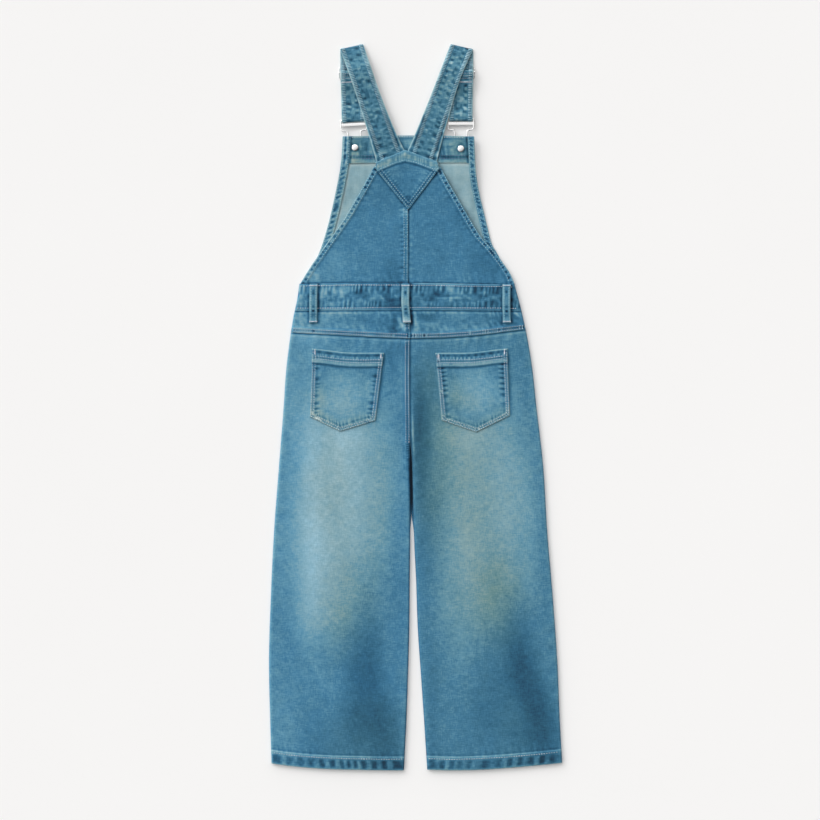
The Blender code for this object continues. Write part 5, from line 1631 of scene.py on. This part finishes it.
class Ribbon:
    """A strap as a closed band along its rungs, with its relief, fading and painted shade on both faces."""

    def __init__(self, rungs, seed):
        left, right = rungs[:, 0], rungs[:, 1]
        self.seed = seed
        self.middle, half_across = (left + right) / 2, (right - left) / 2
        self.ahead = np.gradient(self.middle, axis=0)
        self.along = np.r_[0, np.cumsum(np.linalg.norm(np.diff(self.middle, axis=0), axis=1))]
        normal = np.cross(half_across, self.ahead)
        self.normal = normal / np.linalg.norm(normal, axis=1, keepdims=True)
        self.half_width = np.linalg.norm(half_across, axis=1, keepdims=True)
        self.unit = half_across / self.half_width

    def faces(self):
        """The band's two faces: a seed for the look, and 1 or -1 along the normal."""
        return ((self.seed, 1), (self.seed + 40, -1))

    def at(self, sideways, above):
        return self.middle + self.unit * sideways + self.normal * above

    def columns(self):
        """The band's points, fading with painted shade, and greyness, in columns all round it."""
        half = STRAP_WALL / 2
        t = np.linspace(-1, 1, ACROSS) * (1 - half / self.half_width)
        run, climb = np.linalg.norm(self.ahead[:, :2], axis=1), np.abs(self.ahead[:, 2])
        calm = np.where(climb > run, 0.4, 1.0)[:, None] * (1 - 0.7 * fade(np.abs(t), 0.8, 0.95))
        for seed, sign in self.faces():
            look = strap_look(self.along[:, None], t * STRAP_HALF, seed)
            rise = half + look.lift * calm
            for k in range(ACROSS)[::sign]:
                place = self.at(self.half_width * t[:, k : k + 1], sign * rise[:, k : k + 1])
                yield place, look.wear_and_shade[:, k], look.grey_and_shade[:, k]
            for angle in EDGE_TURN:
                out = self.half_width - half + half * math.cos(angle)
                place = self.at(sign * out, sign * half * math.sin(angle))
                yield place, np.full(len(t), EDGE_WEAR), look.grey_and_shade[:, -1]

    def ladder(self, piece):
        """The bars of thread along both edges of both faces."""
        bars = []
        for seed, sign in self.faces():
            for edge in (-1, 1):
                lines = []
                for inset in TICKS:
                    place = edge * (STRAP_HALF - inset)
                    lift = strap_look(self.along, np.full_like(self.along, place), seed).lift
                    lines.append(self.at(place, sign * (STRAP_WALL / 2 + lift)[:, None]))
                table = np.hstack((self.middle, *lines, self.normal * sign))
                bars.append(resampled(table, TICK_PITCH))
        _, starts, ends, sides = np.hsplit(np.vstack(bars), 4)
        wander = WANDER * noise(self.seed + 11, np.arange(len(starts))[:, None] / 3)
        capsules(piece, "ladder", starts, ends, sides, TICK_RADIUS * (0.9 + wander), LADDER_THREAD)


# The stitched box near a slider, from the fold down, and the bar tack that ends it
BOX_BELOW_FOLD = np.array([20.4, 23.8, 27.2, 30.6])
BOX_BELOW_SLIDER = np.array([38.4, 41.8, 45.2])
BOX_COLUMNS = np.arange(-14.6, 15.0, 2.8)
BOX_END = 50.4
BOX_HALF_STITCH = 0.5
BOX_END_HALF_STITCH = 1.1
BOX_RISE = 0.25  # of the threads' middles above the strap
BOX_THREAD = 0.5


def slider_box(which, piece):
    """Short stitches in rows across the strap where its end is sewn down, on both faces that show."""
    run, starts, ends = FrontRun(which), [], []

    def add(distance, sideways, ahead, heights):
        top = float(eased(heights, distance)) + STRAP_WALL / 2 + BOX_RISE
        starts.append((*run.point(distance - ahead, sideways), top))
        ends.append((*run.point(distance + ahead, sideways), top))

    for sideways in BOX_COLUMNS:
        for distance in BOX_BELOW_FOLD:
            add(distance, sideways, BOX_HALF_STITCH, STRAP_DOWN_HEIGHTS)
        for distance in BOX_BELOW_SLIDER:
            add(distance, sideways, BOX_HALF_STITCH, STRAP_UP_HEIGHTS)
        for step in (-0.7, 0.7):
            add(BOX_END, sideways + step, BOX_END_HALF_STITCH, STRAP_UP_HEIGHTS)
    up = np.tile((0, 0, 1), (len(starts), 1))
    capsules(piece, "box", np.array(starts), np.array(ends), up, BOX_THREAD)


def make_straps():
    for seed, which in ((320, "left"), (420, "right")):
        ribbon = Ribbon(strap_rungs(which), seed)
        points, wears_and_shades, greys_and_shades = (np.stack(parts, axis=1) for parts in zip(*ribbon.columns()))
        node, faces = f"strap_{which}", tube_faces(*points.shape[:2])
        piece = mesh_object(f"{node}_cloth", points.reshape(-1, 3), faces, [DENIM], wears_and_shades, greys_and_shades)
        joins(piece, node)
        ribbon.ladder(piece)
        slider_box(which, piece)


# ---- metal -----------------------------------------------------------------------------------


def wire(name, points, radius, closed=True, parent=None):
    """Round wire along a path, as a mesh made from a bevelled curve."""
    curve = bpy.data.curves.new(name, "CURVE")
    curve.dimensions = "3D"
    curve.bevel_depth = radius * MILLIMETRE
    curve.bevel_resolution = 4
    curve.use_fill_caps = True
    spline = curve.splines.new("POLY")
    spline.points.add(len(points) - 1)
    for knot, point in zip(spline.points, points):
        knot.co = (*[value * MILLIMETRE for value in point], 1)
    spline.use_cyclic_u = closed
    source = placed(name + "_path", curve)
    bpy.context.view_layer.update()
    mesh = bpy.data.meshes.new_from_object(source.evaluated_get(bpy.context.evaluated_depsgraph_get()))
    bpy.data.objects.remove(source)
    mesh.name = name
    mesh.materials.clear()
    mesh.materials.append(NICKEL)
    mesh.shade_smooth()
    return placed(name, mesh, parent)


def rounded(points, times=2):
    """The same path with its corners cut, again and again."""
    for _ in range(times):
        cut = [points[0]]
        for a, b in zip(points, points[1:]):
            cut.append((0.75 * a[0] + 0.25 * b[0], 0.75 * a[1] + 0.25 * b[1]))
            cut.append((0.25 * a[0] + 0.75 * b[0], 0.25 * a[1] + 0.75 * b[1]))
        points = [*cut, points[-1]]
    return points


def metal_tube(name, rings, sharp_degrees, parent=None):
    """Solid metal from rings of points, capped at both ends."""
    points = [point for ring in rings for point in ring]
    made = mesh_object(name, points, tube_faces(len(rings), len(rings[0])), [NICKEL], parent=parent)
    made.data.set_sharp_from_angle(angle=math.radians(sharp_degrees))
    return made


def cross_bar(which, frame_wire):
    """The flat bar behind the strap, with softened long edges."""
    half_width, half_height, half_thick = CROSS_BAR
    turn = np.radians(np.arange(0, 360, 15))
    flat = np.sign(np.cos(turn)) * np.abs(np.cos(turn)) ** 0.35 * half_height
    thick = np.sign(np.sin(turn)) * np.abs(np.sin(turn)) ** 0.6 * half_thick
    section = list(zip(CROSS_BAR_AT + flat, BUCKLE_LEVEL + thick))
    rings = [
        [(*on_buckle(which, across, along), level) for along, level in section]
        for across in (-half_width, half_width)
    ]
    metal_tube(f"buckle_{which}_bar", rings, 40, parent=frame_wire)


def make_buckles():
    half = rounded(BUCKLE_HALF)
    outline = half + [(-across, along) for across, along in reversed(half[:-1])]
    for which in BUTTONS:
        points = [(*on_buckle(which, *point), BUCKLE_LEVEL) for point in outline]
        frame_wire = wire(f"buckle_{which}_wire", points, BUCKLE_WIRE)
        joins(frame_wire, f"buckle_{which}")
        cross_bar(which, frame_wire)


def slider_path():
    """The slider's outer wire in plan, as (across, along), with points on its side rails to arch by."""
    path = []
    for turn, (i, j) in enumerate(((1, 1), (-1, 1), (-1, -1), (1, -1))):
        across, along = i * (SLIDER_HALF_WIDTH - SLIDER_CORNER), j * (SLIDER_HALF_LENGTH - SLIDER_CORNER)
        for step in range(7):
            angle = math.radians(90 * turn + 15 * step)
            path.append((across + SLIDER_CORNER * math.cos(angle), along + SLIDER_CORNER * math.sin(angle)))
        if turn in (1, 3):
            path += [(i * SLIDER_HALF_WIDTH, along * share) for share in np.linspace(0.85, -0.85, 11)]
    return path


def make_sliders():
    for which in STRAPS:
        run, points = FrontRun(which), []
        for across, along in slider_path():
            arch = float(hump(along, 0, SLIDER_HALF_LENGTH - SLIDER_CORNER))
            level = SLIDER_WIRE + arch * (SLIDER_ARCH - SLIDER_WIRE)
            points.append((*run.point(SLIDER_AT - along, across), level))
        rail = wire(f"slider_{which}_wire", points, SLIDER_WIRE)
        joins(rail, f"slider_{which}")
        ends = [(*run.point(SLIDER_AT, i * SLIDER_HALF_WIDTH), SLIDER_ARCH) for i in (-1, 1)]
        wire(f"slider_{which}_bar", ends, SLIDER_BAR_WIRE, closed=False, parent=rail)


def turned(name, profile, x, y, segments=48):
    """A round piece from a half profile of (radius, height), bottom to top."""
    angles = 2 * math.pi * np.arange(segments) / segments
    rings = [
        [(x + radius * math.cos(a), y + radius * math.sin(a), height) for a in angles]
        for radius, height in profile
    ]
    return metal_tube(name, rings, 45)


def make_buttons():
    """Bib buttons under the cloth, each with its neck in a buckle's loop, and their caps above."""
    neck, head, top = BUTTON_NECK_RADIUS, BUTTON_HEAD_RADIUS, BUTTON_HEAD
    for which, (x, y) in BUTTONS.items():
        cloth = float(bib_lift(x, y))
        profile = [
            (head - 2.6, 0.35), (head - 2.2, 0.0), (head - 1.2, 0.0), (head - 0.3, 0.35), (head, 0.9),
            (head, top - 0.6), (head - 0.2, top - 0.2), (head - 0.7, top), (neck + 0.4, top),
            (neck, top + 0.3), (neck, cloth - GAP / 3),
        ]
        joins(turned(f"button_{which}_head", profile, x, y), f"button_{which}")
        rest = cloth + 2 * WALL + GAP + GAP / 3
        cap = [(CAP_RADIUS - 0.3, rest), (CAP_RADIUS, rest + 0.2), (CAP_RADIUS, rest + CAP_RIM)]
        for share in (0.94, 0.85, 0.72, 0.55, 0.35, 0.15):
            rise = (CAP_HEIGHT - CAP_RIM) * math.sqrt(1 - share**2)
            cap.append((CAP_RADIUS * share, rest + CAP_RIM + rise))
        joins(turned(f"button_back_{which}_cap", cap, x, y), f"button_back_{which}")


# ---- floor, light and camera -------------------------------------------------------------------

FLOOR_HALF = 4000.0
FLOOR_GLOW = 0.10  # the white sheet is lit from below too, which keeps the shadows on it pale
# Soft light all round, brightest low down at the upper left, and a wide soft lamp from there
SKY_STRENGTH = 0.81
SKY_FROM = (-0.6, 0.8, 0.0)
SKY_SLANT = 1.8  # how much more the brightest side gives than the middle of the sky
KEY_STRENGTH = 1.05
KEY_SOFTNESS = 26.0
KEY_DIRECTION = (0.70, -0.70, -0.48)


def make_stage():
    nodes = new_material("paper_floor")
    tint = nodes.ramp(nodes.noise(3, 2), [(0.0, screen(234, 233, 232)), (1.0, screen(236, 235, 234))])
    nodes.shade(
        tint, 0.95, Specular_IOR_Level=0.0, Emission_Color=screen(245, 244, 243),
        Emission_Strength=FLOOR_GLOW,
    )
    corners = [(i * FLOOR_HALF, j * FLOOR_HALF, 0) for i, j in ((-1, -1), (1, -1), (1, 1), (-1, 1))]
    mesh_object("floor", corners, [(0, 1, 2, 3)], [nodes.owner])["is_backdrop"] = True


def make_sky():
    nodes = Nodes(bpy.data.worlds.new("studio"), "Background", "Generated")
    slope = [SKY_SLANT * part for part in SKY_FROM]
    slant = nodes.new("VectorMath", {0: nodes.place, 1: slope}, operation="DOT_PRODUCT")
    level = nodes.math("MULTIPLY_ADD", slant.outputs["Value"], SKY_STRENGTH, SKY_STRENGTH)
    nodes.feed(nodes.shader, {"Color": (1.0, 1.0, 1.0, 1), "Strength": nodes.math("MAXIMUM", level, 0.0)})
    bpy.context.scene.world = nodes.owner


def make_key():
    key = bpy.data.lights.new("key", "SUN")
    key.energy = KEY_STRENGTH
    key.angle = math.radians(KEY_SOFTNESS)
    lamp = placed("key", key)
    lamp.rotation_mode = "QUATERNION"
    lamp.rotation_quaternion = Vector(KEY_DIRECTION).to_track_quat("-Z", "Y")


def make_camera():
    data = bpy.data.cameras.new("camera")
    data.lens = LENS
    data.sensor_width = SENSOR
    camera = placed("camera", data)
    height = FRAME_WIDTH * LENS / SENSOR + TROUSER_TOP
    camera.location = [value * MILLIMETRE for value in (*FRAME_MIDDLE, height)]
    bpy.context.scene.camera = camera
    bpy.context.scene.view_settings.view_transform = "Standard"


def keep_size():
    """The frame's box and the dressed model's box, side by side."""
    boxes = {"cad": CAD_BOX, "visual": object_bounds()}
    plain = {name: [list(corner) for corner in box] for name, box in boxes.items()}


make_legs()
make_yoke()
make_waistbands()
make_pockets()
make_belt_loops()
make_two_sided_bib()
make_bands()
make_facing()
make_back_bib()
make_keystone()
make_straps()
make_buckles()
make_sliders()
make_buttons()
make_stage()
make_sky()
make_key()
make_camera()
keep_size()
